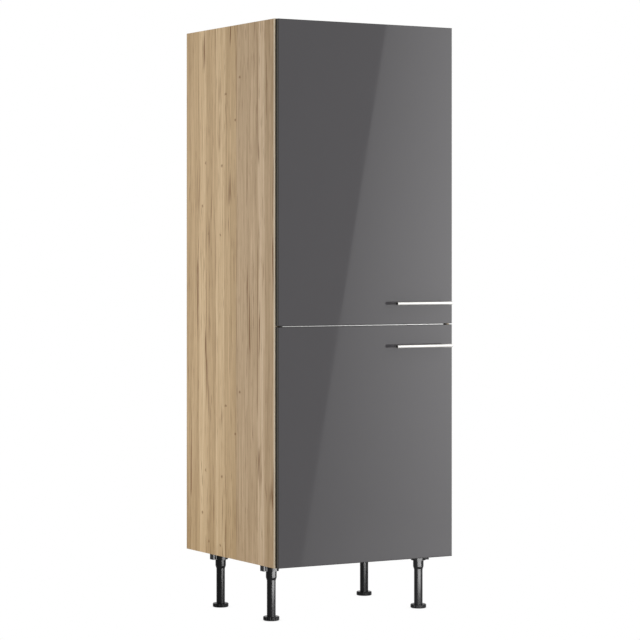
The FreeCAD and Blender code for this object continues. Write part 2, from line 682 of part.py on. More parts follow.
def hinges(level):
    """Both concealed hinges of one door."""
    kinds = {kind: [] for kind in ("cups", "links", "arms", "plates", "arm_pins", "cup_pins", "cup_screws",
                                   "plate_screws")}
    for spot, z in HINGES[level].items():
        name = level.title() + "Hinge" + spot
        kinds["cups"].append(hinge_cup(name + "Cup", z))
        kinds["links"].append(hinge_link(name + "Link", z))
        kinds["arms"].append(hinge_arm(name + "Arm", z))
        kinds["plates"].append(hinge_plate(name + "Mount", z))
        arm_spot = (hinge_x("arm_pivot_u"), hinge_y("arm_pivot_v"), f"{z} - arm_width / 2")
        kinds["arm_pins"].append(rod(name + "ArmPin", arm_spot, "hinge_pin_radius", "arm_width"))
        cup_spot = (hinge_x("cup_pivot_u"), hinge_y("cup_pivot_v"), f"{z} - cup_pin_half")
        kinds["cup_pins"].append(rod(name + "CupPin", cup_spot, "hinge_pin_radius", "2 * cup_pin_half"))
        for end in (-1, 1):
            ear = (hinge_x("cup_middle + flange_reach / 2"), "door_back + flange_sheet",
                   f"{z} + {end} * flange_screw")
            kinds["cup_screws"].append(screw(f"{name}CupScrew{end + 2}", ear, ("y", -1), "screw_radius",
                                             "screw_length + flange_sheet - fit_clearance",
                                             "screw_head_radius", "screw_head_height"))
            wing = (hinge_x("side_face + plate_wing_rise"), hinge_y("plate_centre"),
                    f"{z} + {end} * plate_screw")
            kinds["plate_screws"].append(screw(f"{name}PlateScrew{end + 2}", wing, ("x", -1),
                                               "plate_screw_radius", "plate_screw_depth + plate_wing_rise",
                                               "plate_screw_head", "plate_screw_rise"))
    for kind, pieces in kinds.items():
        node(f"{level}_hinge_{kind}", group(f"{level.title()}Hinge{kind.title()}", pieces))


def leg(place_name, sign, y):
    """Plastic bracket pegged into the bottom board, with a screw-out tube and foot."""
    name = "Leg" + place_name.title().replace("_", "")
    x = f"{sign} * (right - leg_side)"
    housing = rod(name + "Housing", (x, y, "housing_foot"), "housing_radius", "housing_height")
    collar = rod(name + "Collar", (x, y, "collar_foot"), "collar_radius", "collar_height")
    taper = doc.addObject("Part::Cone", name + "Taper")
    bind(taper, Radius1="tube_radius + thread_fit + mouth_rim", Radius2="collar_radius",
         Height="taper_height")
    place(taper, (x, y, "socket_mouth"))
    lug_x = f"{x} - lug_reach" if sign < 0 else x
    lug = box(name + "Lug", (lug_x, f"{y} - lug_half", "housing_foot"),
              ("lug_reach", "2 * lug_half", "housing_height"))
    peg = rod(name + "Peg", (x, y, "base - socket_roof"), "peg_radius", "peg_height + socket_roof")
    slots = []
    for step in (1, 2):
        start = f"{sign} * (lug_reach - {step} * lug_slot_pitch) - lug_slot / 2"
        for face, slot_y in (("Near", f"{y} - lug_half"), ("Far", f"{y} + lug_half - lug_slot")):
            slots.append(box(f"{name}Slot{step}{face}", (f"{x} + {start}", slot_y, "housing_foot"),
                             ("lug_slot", "lug_slot", "housing_height - socket_roof")))
    socket = rod(name + "Socket", (x, y, "socket_mouth"), "tube_radius + thread_fit",
                 "socket_top - socket_mouth")
    bracket = fuse(name + "Blank", [housing, collar, taper, lug, peg])
    node("leg_bracket_" + place_name, cut(name + "Bracket", bracket, slots + [socket]))

    outside = rod(name + "TubeOut", (x, y, "foot_height"), "tube_radius", "tube_top - foot_height")
    inside = rod(name + "TubeIn", (x, y, "foot_height"), "tube_radius - tube_wall", "tube_top - foot_height")
    node("leg_tube_" + place_name, cut(name + "Tube", outside, [inside]))

    spigot = "tube_radius - tube_wall - fit_clearance"
    profile = [(0, 0), ("foot_radius - foot_bevel", 0), ("foot_radius", "foot_bevel"),
               ("foot_radius", "foot_height - foot_bevel"), ("foot_radius - foot_bevel", "foot_height"),
               (spigot, "foot_height"), (spigot, "foot_height + foot_spigot"),
               (0, "foot_height + foot_spigot")]
    blank = turned(name + "Foot", profile, (x, y, 0))
    nicks = []
    for step in range(SCALLOPS):
        angle = step * math.tau / SCALLOPS
        ring = "(foot_radius + scallop_radius / 2)"
        nicks.append(rod(f"{name}Nick{step}", (f"{x} + {ring} * {math.cos(angle):.6f}",
                                               f"{y} + {ring} * {math.sin(angle):.6f}", 0), "scallop_radius",
                         "foot_height"))
    node("leg_foot_" + place_name, cut(name + "Disc", blank, nicks))


side_panel("left", -1)
side_panel("right", 1)
for board_name, floor in BOARDS.items():
    fixed_board(board_name, floor)
for level in ("lower", "upper"):
    back_panel(level)
carcass_hardware()
wall_brackets()
shelves()
for level in DOORS:
    door(level)
    handle(level)
    hinges(level)
for place_name, (sign, y) in LEGS.items():
    leg(place_name, sign, y)

doc.recompute()
for item in doc.Objects:
    if "Invalid" in item.State or "Error" in item.State:
        raise RuntimeError(f"{item.Name} did not compute: {item.State}")
for item in NODES:
    if item.Shape.isNull() or not item.Shape.isValid() or item.Shape.Volume <= 0:
        raise RuntimeError(f"{item.Label} has no valid shape")
os.makedirs("parts", exist_ok=True)
for item in NODES:
    item.Shape.exportStep(f"parts/{item.Label}.step")
print(len(NODES), "sub-parts written")
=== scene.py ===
# %% [markdown]
# # Dressing a mid-height kitchen cabinet
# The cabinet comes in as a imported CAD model: boards, doors, hinges, handles and legs, each one already in
# its place and already able to move. This lesson gives those pieces their surfaces, adds the small trim
# that is too fine for the CAD model, and sets up a plain photo studio around them.

# %% Load the cabinet
import math

import bmesh
import bpy
from mathutils import Matrix, Vector


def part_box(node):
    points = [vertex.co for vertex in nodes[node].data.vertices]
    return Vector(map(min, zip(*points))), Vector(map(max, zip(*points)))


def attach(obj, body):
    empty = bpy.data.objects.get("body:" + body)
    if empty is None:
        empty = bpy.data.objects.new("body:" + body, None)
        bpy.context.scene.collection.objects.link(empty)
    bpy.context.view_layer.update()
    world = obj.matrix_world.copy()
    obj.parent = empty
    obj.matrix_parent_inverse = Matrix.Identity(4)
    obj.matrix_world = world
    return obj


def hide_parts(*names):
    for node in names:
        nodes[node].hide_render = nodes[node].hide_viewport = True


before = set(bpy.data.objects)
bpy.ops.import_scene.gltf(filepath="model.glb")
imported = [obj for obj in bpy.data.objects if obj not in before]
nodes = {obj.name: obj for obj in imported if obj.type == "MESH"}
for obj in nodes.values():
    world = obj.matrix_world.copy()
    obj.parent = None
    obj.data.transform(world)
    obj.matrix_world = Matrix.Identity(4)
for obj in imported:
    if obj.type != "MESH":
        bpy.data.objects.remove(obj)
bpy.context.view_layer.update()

MM = 0.001

# %% [markdown]
# ## Helpers for materials
# Colours are easiest to choose as the hex codes that a paint chart or a screen shows. Those are stored with
# a curve that suits the eye, while the renderer adds light, so each code is first turned to linear values.
# Every material is a small tree of nodes. One function adds a node, sets its options and fills its sockets,
# either with a value or with a link from another node, so a tree reads from top to bottom like a recipe.
# Noise lies between 0 and 1, but nearly all of it is near the middle, so a Map Range node stretches it. Its
# sockets 1 and 2 are the low and high ends that go in, and 3 and 4 are what these turn into.


# %% Colour and node helpers
NOISE_SPREAD = {1: 0.3, 2: 0.7}


def linear(code):
    """sRGB hex code to the linear colour that a shader socket takes."""
    parts = [int(code[i:i + 2], 16) / 255 for i in (1, 3, 5)]
    return [p / 12.92 if p <= 0.04045 else ((p + 0.055) / 1.055) ** 2.4 for p in parts] + [1.0]


def add(tree, kind, inputs=None, **options):
    """Add one node; inputs maps a socket to a value or to the socket that feeds it."""
    node = tree.nodes.new("ShaderNode" + kind)
    for name, value in options.items():
        setattr(node, name, value)
    for key, value in (inputs or {}).items():
        if isinstance(value, bpy.types.NodeSocket):
            tree.links.new(value, node.inputs[key])
        else:
            node.inputs[key].default_value = value
    return node


def new_material(name, **sockets):
    """A material with constant sockets set; returns it with its tree, its shader and the object's place."""
    material = bpy.data.materials.new(name)
    material.use_nodes = True
    tree = material.node_tree
    shader = tree.nodes["Principled BSDF"]
    for key, value in sockets.items():
        shader.inputs[key.replace("_", " ")].default_value = value
    return material, tree, shader, add(tree, "TexCoord").outputs["Object"]


def feed(shader, **sockets):
    """Link the ends of a tree to the sockets of its shader."""
    for key, output in sockets.items():
        shader.id_data.links.new(output, shader.inputs[key.replace("_", " ")])


def dress(material, *names):
    """Put one material on CAD nodes, in place of the plain colour they came with."""
    for name in names:
        nodes[name].data.materials.clear()
        nodes[name].data.materials.append(material)
    print(material.name, "on", len(names), "nodes")


# %% [markdown]
# ## Planes that the finishes need
# Patterns are placed in metres in the cabinet's own frame. A board can have a different surface on each
# face. It could be cut into faces with a material each, but the CAD meshes stay as they are, so the
# material asks where a point lies. A few planes are read from the CAD boxes: the inner faces of the sides,
# their sawn edges, the faces of the doors and the room side of the back panel. A point is on a face when it
# is within a hair of it.

# %% Planes of the cabinet
HAIR = 0.3 * MM
side_low, side_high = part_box("side_panel_left")
INNER_X = -side_high.x
FRONT_Y, REAR_Y = side_low.y, side_high.y
BASE_Z, CROWN_Z = side_low.z, side_high.z
DOOR_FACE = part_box("upper_door_panel")[0].y
DOOR_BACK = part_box("upper_door_panel")[1].y
BACK_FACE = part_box("back_panel_upper")[0].y
DOORS = ("upper", "lower")
LEGS = ("front_left", "front_right", "rear_left", "rear_right")
print("sides inside at", round(INNER_X, 4), "door inside at", round(DOOR_BACK, 4))

# %% [markdown]
# ## Oak decor on melamine board
# The sides are chipboard with a printed oak paper, pressed on under melamine resin, so the eye gets the
# colours of oak but the even, low sheen of a hard plastic skin. The print shows staves 45 to 80 mm wide,
# lighter and darker in turn, with a thin dark joint here and there. Toward the front they are a little
# pinker. A photographed texture is the usual way to get such a print. Here it is built from a chart of
# staves and from noise stretched along the height, which stays sharp from any distance. The chart says
# where each stave starts, in millimetres from the rear, which of three tones it has, whether it is pink,
# and how clear its joint is. The staves sway a little along the height, so no joint is a ruled line.

# %% Oak decor: staves
DARK, MIDDLE, LIGHT = 0.315, 0.35, 0.415
YELLOW, PINK = 0.0, 0.9
FAINT, CLEAR = 0.25, 1.0
STAVES = ((0, DARK, YELLOW, FAINT), (29, MIDDLE, YELLOW, FAINT), (83, LIGHT, YELLOW, FAINT),
          (132, MIDDLE, YELLOW, FAINT), (191, LIGHT, YELLOW, CLEAR), (253, MIDDLE, YELLOW, FAINT),
          (326, MIDDLE, PINK, CLEAR), (405, MIDDLE, PINK, FAINT), (455, LIGHT, PINK, CLEAR),
          (500, DARK, PINK, FAINT))
SWAY, SWAY_WIDE, SWAY_LONG = 4 * MM, 120 * MM, 500 * MM
oak, tree, shader, spot = new_material("oak_decor_melamine", Roughness=0.55, IOR=1.52,
                                       Specular_IOR_Level=0.1)
xyz = add(tree, "SeparateXYZ", {0: spot}).outputs
wave = add(tree, "Mapping", {"Vector": spot, "Scale": (0, 1 / SWAY_WIDE, 1 / SWAY_LONG)}).outputs[0]
drift = add(tree, "TexNoise", {"Vector": wave, "Scale": 1.0, "Detail": 2.0}).outputs["Fac"]
sway = add(tree, "MapRange", {0: drift, 1: 0.25, 2: 0.75, 3: -SWAY, 4: SWAY}).outputs[0]
across = add(tree, "Math", {0: xyz["Y"], 1: sway}, operation="ADD").outputs[0]
grain = add(tree, "CombineXYZ", {"X": xyz["X"], "Y": across, "Z": xyz["Z"]}).outputs[0]
print("staves on a side:", len(STAVES))

# %% [markdown]
# A colour ramp from the rear edge to the front one holds the chart: red is the tone, green the pink and
# blue the joint. Every joint takes three stops, so that the tone changes within a few millimetres.

# %% Oak decor: chart on a ramp
JOINT_HALF = 3.2
SIDE_DEEP = (REAR_Y - FRONT_Y) / MM
depth = add(tree, "MapRange", {0: across, 1: REAR_Y, 2: FRONT_Y}).outputs[0]
chart = add(tree, "ValToRGB", {"Fac": depth})
stops = chart.color_ramp.elements
stops[0].color = (*STAVES[0][1:3], 0, 1)
stops[1].color = (*STAVES[-1][1:3], 0, 1)
for (_, *before), (place, *after) in zip(STAVES, STAVES[1:]):
    seam = [(b + a) / 2 for b, a in zip(before[:2], after[:2])]
    stops.new((place - JOINT_HALF) / SIDE_DEEP).color = (*before[:2], 0, 1)
    stops.new(place / SIDE_DEEP).color = (*seam, after[2], 1)
    stops.new((place + JOINT_HALF) / SIDE_DEEP).color = (*after[:2], 0, 1)
tone, pink, joint = add(tree, "SeparateColor", {0: chart.outputs["Color"]}).outputs
print("stops in the chart:", len(stops))

# %% [markdown]
# Every layer of the grain is noise with its own width and length in millimetres. The figure gives soft
# stripes within a stave, and finer lines lie over them. The cracks are thin lines wherever one more noise
# passes its middle value, kept only where a patchy noise is high, so that they start and stop. A very fine
# layer stands for the pores, drawn about twice as wide as real ones so that they still show.

# %% Oak decor: grain layers
FIGURE_SHARE, LINE_SHARE = 0.15, 0.24
LAYERS = (("figure", 17, 700, 3.0), ("lines", 6, 240, 2.0), ("cracks", 40, 1600, 2.0),
          ("patches", 38, 220, 2.0), ("flecks", 4, 70, 1.0), ("pores", 1.2, 40, 1.0))
OAK_TONES = ((0.42, "#967850"), (0.48, "#ab8e65"), (0.54, "#bb9e75"), (0.60, "#caad84"), (0.68, "#dcc29a"))
PINK_TINT = (1.0, 1.03, 1.17, 1)
layers = {}
for name, wide, long, detail in LAYERS:
    stretched = add(tree, "Mapping", {"Vector": grain, "Scale": (1, 1 / (wide * MM), 1 / (long * MM))})
    layers[name] = add(tree, "TexNoise", {"Vector": stretched.outputs[0], "Scale": 1.0, "Detail": detail,
                                          "Roughness": 0.55}).outputs["Fac"]
for name, share in (("figure", FIGURE_SHARE), ("lines", LINE_SHARE)):
    tone = add(tree, "Math", {0: layers[name], 1: share, 2: tone}, operation="MULTIPLY_ADD").outputs[0]
ramp = add(tree, "ValToRGB", {"Fac": tone})
stops = ramp.color_ramp.elements
for stop, (position, code) in zip((stops[0], stops[1]), (OAK_TONES[0], OAK_TONES[-1])):
    stop.position, stop.color = position, linear(code)
for position, code in OAK_TONES[1:-1]:
    stops.new(position).color = linear(code)
wood = add(tree, "Mix", {"Factor": pink, "A": ramp.outputs["Color"], "B": PINK_TINT},
           data_type="RGBA", blend_type="MULTIPLY").outputs["Result"]
print("grain layers:", ", ".join(layers))

# %% [markdown]
# A joint fades in and out along the height, as it does in the print. Cracks, flecks and pores join it in
# one mask, which darkens the wood to a warm brown. Each has its own step: where its noise starts to show,
# where it is full, and how strong it then is.

# %% Oak decor: joints, cracks and flecks
JOINT_STEP = {1: 0.42, 2: 0.60, 3: 0.1, 4: 0.95}
CRACK_STEP = {1: 0.008, 2: 0.022, 3: 1.0, 4: 0.0}
PATCH_STEP = {1: 0.52, 2: 0.64, 3: 0.0, 4: 0.85}
FLECK_STEP = {1: 0.62, 2: 0.76, 3: 0.0, 4: 0.6}
PORE_STEP = {1: 0.56, 2: 0.72, 3: 0.0, 4: 0.18}
FADES_PER_METRE = 4.0
fade = add(tree, "TexNoise", {"Vector": grain, "Scale": FADES_PER_METRE, "Detail": 2.0}).outputs["Fac"]
shown = add(tree, "MapRange", {0: fade, **JOINT_STEP}).outputs[0]
marks = add(tree, "Math", {0: joint, 1: shown}, operation="MULTIPLY").outputs[0]
middle = add(tree, "Math", {0: layers["cracks"], 1: 0.5}, operation="SUBTRACT").outputs[0]
apart = add(tree, "Math", {0: middle}, operation="ABSOLUTE").outputs[0]
line = add(tree, "MapRange", {0: apart, **CRACK_STEP}).outputs[0]
patch = add(tree, "MapRange", {0: layers["patches"], **PATCH_STEP}).outputs[0]
crack = add(tree, "Math", {0: line, 1: patch}, operation="MULTIPLY").outputs[0]
marks = add(tree, "Math", {0: marks, 1: crack}, operation="MAXIMUM").outputs[0]
fleck = add(tree, "MapRange", {0: layers["flecks"], **FLECK_STEP}).outputs[0]
marks = add(tree, "Math", {0: marks, 1: fleck}, operation="MAXIMUM").outputs[0]
pore = add(tree, "MapRange", {0: layers["pores"], **PORE_STEP}).outputs[0]
marks = add(tree, "Math", {0: marks, 1: pore}, operation="ADD", use_clamp=True).outputs[0]
print("marks: joints, cracks, flecks and pores")

# %% [markdown]
# A pin knot is the distance from its middle, put through a soft step. A little noise bends the place first,
# so no knot is a clean oval. The roller that prints the paper is 933 mm round, so every knot comes back one
# turn higher. The knots' places are in millimetres: back from the middle of the frame, and up from the
# floor.

# %% Oak decor: pin knots
PRINT_REPEAT = 933 * MM
KNOTS = [(-11, 539), (180, 416), (75, 404), (202, 286), (160, 204), (85, 196), (50, 620), (-39, 664)]
KNOT_HALF, KNOT_TALL = 6 * MM, 5 * MM
KNOT_BEND, KNOT_RAGGED = 14 * MM, 9 * MM
KNOT_STEP = {1: 1.3, 2: 0.35, 3: 0.0, 4: 0.75}
turn_z = add(tree, "Math", {0: xyz["Z"], 1: PRINT_REPEAT}, operation="MODULO").outputs[0]
rolled = add(tree, "CombineXYZ", {"Y": xyz["Y"], "Z": turn_z}).outputs[0]
ragged = add(tree, "TexNoise", {"Vector": rolled, "Scale": 1 / KNOT_RAGGED, "Detail": 2.0}).outputs["Color"]
bend = add(tree, "VectorMath", {0: ragged, 1: (0.5, 0.5, 0.5)}, operation="SUBTRACT").outputs[0]
rolled = add(tree, "VectorMath", {0: bend, 1: (0, KNOT_BEND, KNOT_BEND), 2: rolled},
             operation="MULTIPLY_ADD").outputs[0]
for y, z in KNOTS:
    offset = add(tree, "VectorMath", {0: rolled, 1: (0, y * MM, z * MM)}, operation="SUBTRACT").outputs[0]
    scaled = add(tree, "VectorMath", {0: offset, 1: (0, 1 / KNOT_HALF, 1 / KNOT_TALL)}, operation="MULTIPLY")
    reach = add(tree, "VectorMath", {0: scaled.outputs[0]}, operation="LENGTH").outputs["Value"]
    knot = add(tree, "MapRange", {0: reach, **KNOT_STEP}).outputs[0]
    marks = add(tree, "Math", {0: marks, 1: knot}, operation="MAXIMUM").outputs[0]
oak_print = add(tree, "Mix", {"Factor": marks, "A": wood, "B": linear("#6f4812")},
                data_type="RGBA").outputs["Result"]
print("knots in one turn of the print:", len(KNOTS))

# %% [markdown]
# The same board is white melamine on its inner face. Its sawn edges, at the top, bottom and rear, show the
# raw chipboard: chips about 2.5 mm across, which a Voronoi pattern gives, each cell in its own shade. Along
# the front edge the print is painted pale for a few millimetres: a painted highlight for the light that the
# edge catches.

# %% Oak decor: painted edge highlight and inner face
WHITE = "#e6e4de"
FRONT_HIGHLIGHT_FROM, FRONT_HIGHLIGHT_FULL, FRONT_HIGHLIGHT_SHARE = 5 * MM, 3.5 * MM, 0.9
flat_x = add(tree, "Math", {0: xyz["X"]}, operation="ABSOLUTE").outputs[0]
inside = add(tree, "Math", {0: flat_x, 1: INNER_X + HAIR}, operation="LESS_THAN").outputs[0]
# Painted highlight: the print turns pale toward the front edge, for the light that edge catches.
front_highlight = add(tree, "MapRange", {0: xyz["Y"], 1: FRONT_Y + FRONT_HIGHLIGHT_FROM, 2: FRONT_Y + FRONT_HIGHLIGHT_FULL, 3: 0.0,
                                 4: FRONT_HIGHLIGHT_SHARE}).outputs[0]
highlighted = add(tree, "Mix", {"Factor": front_highlight, "A": oak_print, "B": linear("#efe2c9")},
             data_type="RGBA").outputs["Result"]
faced = add(tree, "Mix", {"Factor": inside, "A": highlighted, "B": linear(WHITE)},
            data_type="RGBA").outputs["Result"]
print("print rubbed for", FRONT_HIGHLIGHT_FROM / MM, "mm")

# %% Oak decor: sawn edges and skin
CHIP = 2.5 * MM
chip = add(tree, "TexVoronoi", {"Vector": spot, "Scale": 1 / CHIP}).outputs["Color"]
shade = add(tree, "SeparateColor", {0: chip}).outputs[0]
core = add(tree, "Mix", {"Factor": shade, "A": linear("#86693f"), "B": linear("#c4a676")},
           data_type="RGBA").outputs["Result"]
rear = add(tree, "Math", {0: xyz["Y"], 1: REAR_Y - HAIR}, operation="GREATER_THAN").outputs[0]
top = add(tree, "Math", {0: xyz["Z"], 1: CROWN_Z - HAIR}, operation="GREATER_THAN").outputs[0]
bottom = add(tree, "Math", {0: xyz["Z"], 1: BASE_Z + HAIR}, operation="LESS_THAN").outputs[0]
sawn = add(tree, "Math", {0: rear, 1: top}, operation="MAXIMUM").outputs[0]
sawn = add(tree, "Math", {0: sawn, 1: bottom}, operation="MAXIMUM").outputs[0]
skin = add(tree, "Mix", {"Factor": sawn, "A": faced, "B": core}, data_type="RGBA").outputs["Result"]
pressed = add(tree, "Bump", {"Strength": 0.2, "Distance": 0.1 * MM, "Height": layers["pores"]}).outputs[0]
feed(shader, Base_Color=skin, Normal=pressed)
dress(oak, "side_panel_left", "side_panel_right")

# %% [markdown]
# ## White melamine board
# Bottom, middle and top boards and the shelves are white. A plain white would do from afar, but close by it
# looks like paper. The press plate leaves a fine pearl in the resin, about 1 mm across, which breaks up the
# shine a little. A faint warm and cool drift keeps large faces from looking dead.

# %% White melamine
PEARL, DRIFT = 1.0 * MM, 180 * MM
white, tree, shader, spot = new_material("white_melamine", IOR=1.52)
pearl = add(tree, "TexNoise", {"Vector": spot, "Scale": 1 / PEARL, "Detail": 1.0}).outputs["Fac"]
cloud = add(tree, "TexNoise", {"Vector": spot, "Scale": 1 / DRIFT, "Detail": 2.0}).outputs["Fac"]
tint = add(tree, "Mix", {"Factor": cloud, "A": linear("#e9e6de"), "B": linear("#e2e2df")}, data_type="RGBA")
sheen = add(tree, "MapRange", {0: pearl, **NOISE_SPREAD, 3: 0.40, 4: 0.52}).outputs[0]
bump = add(tree, "Bump", {"Strength": 0.12, "Distance": 0.05 * MM, "Height": pearl}).outputs[0]
feed(shader, Base_Color=tint.outputs["Result"], Roughness=sheen, Normal=bump)
dress(white, "bottom_panel", "middle_panel", "top_panel", "shelf_lower", "shelf_upper_low",
      "shelf_upper_high")

# %% [markdown]
# ## Edge bands
# Cut edges that show are covered with a thin plastic band. The bands of the sides carry a pale oak print
# with fine lines along the height, which is too narrow for the staves of the board, so stretched noise is
# enough. Those of the boards and shelves are plain white ABS with a slightly smoother skin.

# %% Oak band and white band
LINE_WIDE, LINE_LONG, RIPPLE = 2.5 * MM, 300 * MM, 6 * MM
oak_band, tree, shader, spot = new_material("printed_oak_band", Roughness=0.38, IOR=1.5)
lines = add(tree, "Mapping", {"Vector": spot, "Scale": (1 / LINE_WIDE, 1, 1 / LINE_LONG)}).outputs[0]
figure = add(tree, "TexNoise", {"Vector": lines, "Scale": 1.0, "Detail": 3.0}).outputs["Fac"]
lighter = add(tree, "MapRange", {0: figure, **NOISE_SPREAD}).outputs[0]
colour = add(tree, "Mix", {"Factor": lighter, "A": linear("#cdb796"), "B": linear("#e8dac0")},
             data_type="RGBA")
feed(shader, Base_Color=colour.outputs["Result"])
dress(oak_band, "side_edge_bands")

white_band, tree, shader, spot = new_material("white_abs_band", IOR=1.5)
ripple = add(tree, "TexNoise", {"Vector": spot, "Scale": 1 / RIPPLE, "Detail": 2.0}).outputs["Fac"]
colour = add(tree, "Mix", {"Factor": ripple, "A": linear("#e6e6e4"), "B": linear("#ededec")},
             data_type="RGBA")
sheen = add(tree, "MapRange", {0: ripple, **NOISE_SPREAD, 3: 0.30, 4: 0.40}).outputs[0]
feed(shader, Base_Color=colour.outputs["Result"], Roughness=sheen)
dress(white_band, "cross_edge_bands", "shelf_edge_bands")

# %% [markdown]
# ## High-gloss door foil
# The doors are board wrapped in a glossy anthracite foil. What the eye gets is a dark, slightly purple grey
# under a clear mirror, and a mirror that is not quite flat: the board below prints through as a soft ripple
# of a few millimetres, called orange peel. It is far too shallow to model, so a bump gives it. The inner
# face is matt white, so colour and roughness both change at the rear.

# %% Gloss anthracite foil
FOIL_DRIFT, PEEL = 140 * MM, 9 * MM
foil, tree, shader, spot = new_material("gloss_anthracite_foil", IOR=1.5)
xyz = add(tree, "SeparateXYZ", {0: spot}).outputs
inside = add(tree, "Math", {0: xyz["Y"], 1: DOOR_BACK - HAIR}, operation="GREATER_THAN").outputs[0]
cloud = add(tree, "TexNoise", {"Vector": spot, "Scale": 1 / FOIL_DRIFT, "Detail": 2.0}).outputs["Fac"]
front = add(tree, "Mix", {"Factor": cloud, "A": linear("#4b494c"), "B": linear("#4d4b4e")},
            data_type="RGBA").outputs["Result"]
both = add(tree, "Mix", {"Factor": inside, "A": front, "B": linear(WHITE)}, data_type="RGBA")
polish = add(tree, "MapRange", {0: cloud, **NOISE_SPREAD, 3: 0.03, 4: 0.06}).outputs[0]
rough = add(tree, "Mix", {"Factor": inside, "A": polish, "B": 0.45}).outputs["Result"]
peel = add(tree, "TexNoise", {"Vector": spot, "Scale": 1 / PEEL, "Detail": 0.0}).outputs["Fac"]
bump = add(tree, "Bump", {"Strength": 0.05, "Distance": 0.02 * MM, "Height": peel}).outputs[0]
feed(shader, Base_Color=both.outputs["Result"], Roughness=rough, Normal=bump)
dress(foil, *[door + "_door_panel" for door in DOORS])

# %% [markdown]
# ## Door edging
# Round the door runs a dark plastic edging, a warmer and much duller black than the foil, which draws a
# thin dark line round the front. Just behind its rounded corner a paler grey stripe a few millimetres wide
# is painted: a painted highlight for the light that the rounded edge catches. The stripe could be a strip of
# its own, but it is only a change of colour, so two planes in the material bound it. Milling also leaves
# fine lines, too small to see, which soften the shine.

# %% Dark edging
EDGE_HIGHLIGHT_FROM, EDGE_HIGHLIGHT_TO, MILLED = 0.9 * MM, 4.5 * MM, 1.5 * MM
edging, tree, shader, spot = new_material("milled_dark_edging", IOR=1.5, Specular_IOR_Level=0.03)
milled = add(tree, "TexNoise", {"Vector": spot, "Scale": 1 / MILLED, "Detail": 2.0}).outputs["Fac"]
colour = add(tree, "Mix", {"Factor": milled, "A": linear("#18120a"), "B": linear("#20180f")},
             data_type="RGBA").outputs["Result"]
forward = add(tree, "SeparateXYZ", {0: spot}).outputs["Y"]
# Painted highlight: a paler stripe just behind the front face, for the light the rounded edge catches.
behind = add(tree, "Math", {0: forward, 1: DOOR_FACE + EDGE_HIGHLIGHT_FROM}, operation="GREATER_THAN").outputs[0]
ahead = add(tree, "Math", {0: forward, 1: DOOR_FACE + EDGE_HIGHLIGHT_TO}, operation="LESS_THAN").outputs[0]
highlight_stripe = add(tree, "Math", {0: behind, 1: ahead}, operation="MULTIPLY").outputs[0]
both = add(tree, "Mix", {"Factor": highlight_stripe, "A": colour, "B": linear("#67655d")}, data_type="RGBA")
dull = add(tree, "MapRange", {0: milled, **NOISE_SPREAD, 3: 0.38, 4: 0.5}).outputs[0]
feed(shader, Base_Color=both.outputs["Result"], Roughness=dull)
dress(edging, *[door + "_door_edging" for door in DOORS])

# %% [markdown]
# ## Brushed stainless steel
# The handle bars are drawn and then brushed along their length. Each scratch is a tiny mirror, so the
# highlight spreads round the bar and stays sharp along it. An anisotropic shader could fake that, while
# noise stretched along the bar also shows the scratches. Real ones are finer than 0.1 mm. They are drawn
# 0.7 mm wide here so that a close view still shows them.

# %% Brushed steel
SCRATCH_WIDE, SCRATCH_LONG = 0.7 * MM, 60 * MM
steel, tree, shader, spot = new_material("brushed_stainless_steel", Metallic=1.0)
finer = (1 / SCRATCH_LONG, 1 / SCRATCH_WIDE, 1 / SCRATCH_WIDE)
brush = add(tree, "Mapping", {"Vector": spot, "Scale": finer})
scratch = add(tree, "TexNoise", {"Vector": brush.outputs[0], "Scale": 1.0, "Detail": 2.0}).outputs["Fac"]
colour = add(tree, "Mix", {"Factor": scratch, "A": linear("#bab8b5"), "B": linear("#cfcdca")},
             data_type="RGBA")
rough = add(tree, "MapRange", {0: scratch, **NOISE_SPREAD, 3: 0.18, 4: 0.32}).outputs[0]
bump = add(tree, "Bump", {"Strength": 0.08, "Distance": 0.02 * MM, "Height": scratch}).outputs[0]
feed(shader, Base_Color=colour.outputs["Result"], Roughness=rough, Normal=bump)
dress(steel, *[f"{door}_handle_{part}" for door in DOORS for part in ("bar", "posts")])

# %% [markdown]
# ## Plated steel and cast zinc
# The hinges are stamped steel under bright nickel, which has a warm tint. Screws, angles and shelf pins are
# zinc plated: cooler, duller and a little blotchy. The cam locks are cast zinc, grey, with the grain of the
# mould. All three are the same kind of tree, so one loop makes them from two colours, the size of the
# blotches in millimetres, the smoothest and roughest patch and the strength of the relief.

# %% Nickel, zinc plate and cast zinc
METALS = {"nickel_plated_steel": ("#c4bfb3", "#d6d1c6", 5.0, 0.14, 0.24, 0.03),
          "zinc_plated_steel": ("#a9aeb2", "#c3c5c4", 1.6, 0.26, 0.40, 0.05),
          "die_cast_zinc": ("#85868a", "#a1a2a3", 0.7, 0.42, 0.58, 0.30)}
metal = {}
for name, (dark, light, grit, polished, dull, relief) in METALS.items():
    metal[name], tree, shader, spot = new_material(name, Metallic=1.0)
    blotch = add(tree, "TexNoise", {"Vector": spot, "Scale": 1 / (grit * MM), "Detail": 2.0}).outputs["Fac"]
    colour = add(tree, "Mix", {"Factor": blotch, "A": linear(dark), "B": linear(light)}, data_type="RGBA")
    rough = add(tree, "MapRange", {0: blotch, **NOISE_SPREAD, 3: polished, 4: dull}).outputs[0]
    bump = add(tree, "Bump", {"Strength": relief, "Distance": 0.05 * MM, "Height": blotch}).outputs[0]
    feed(shader, Base_Color=colour.outputs["Result"], Roughness=rough, Normal=bump)
nickel, zinc = metal["nickel_plated_steel"], metal["zinc_plated_steel"]
STAMPED = ("cups", "links", "arms", "plates", "arm_pins", "cup_pins")
dress(nickel, *[f"{door}_hinge_{part}" for door in DOORS for part in STAMPED])
dress(zinc, "cam_bolts", "back_panel_screws", "wall_brackets", "wall_bracket_screws", "shelf_pins",
      *[f"{door}_{part}_screws" for door in DOORS for part in ("handle", "hinge_cup", "hinge_plate")])
dress(metal["die_cast_zinc"], "cam_locks")

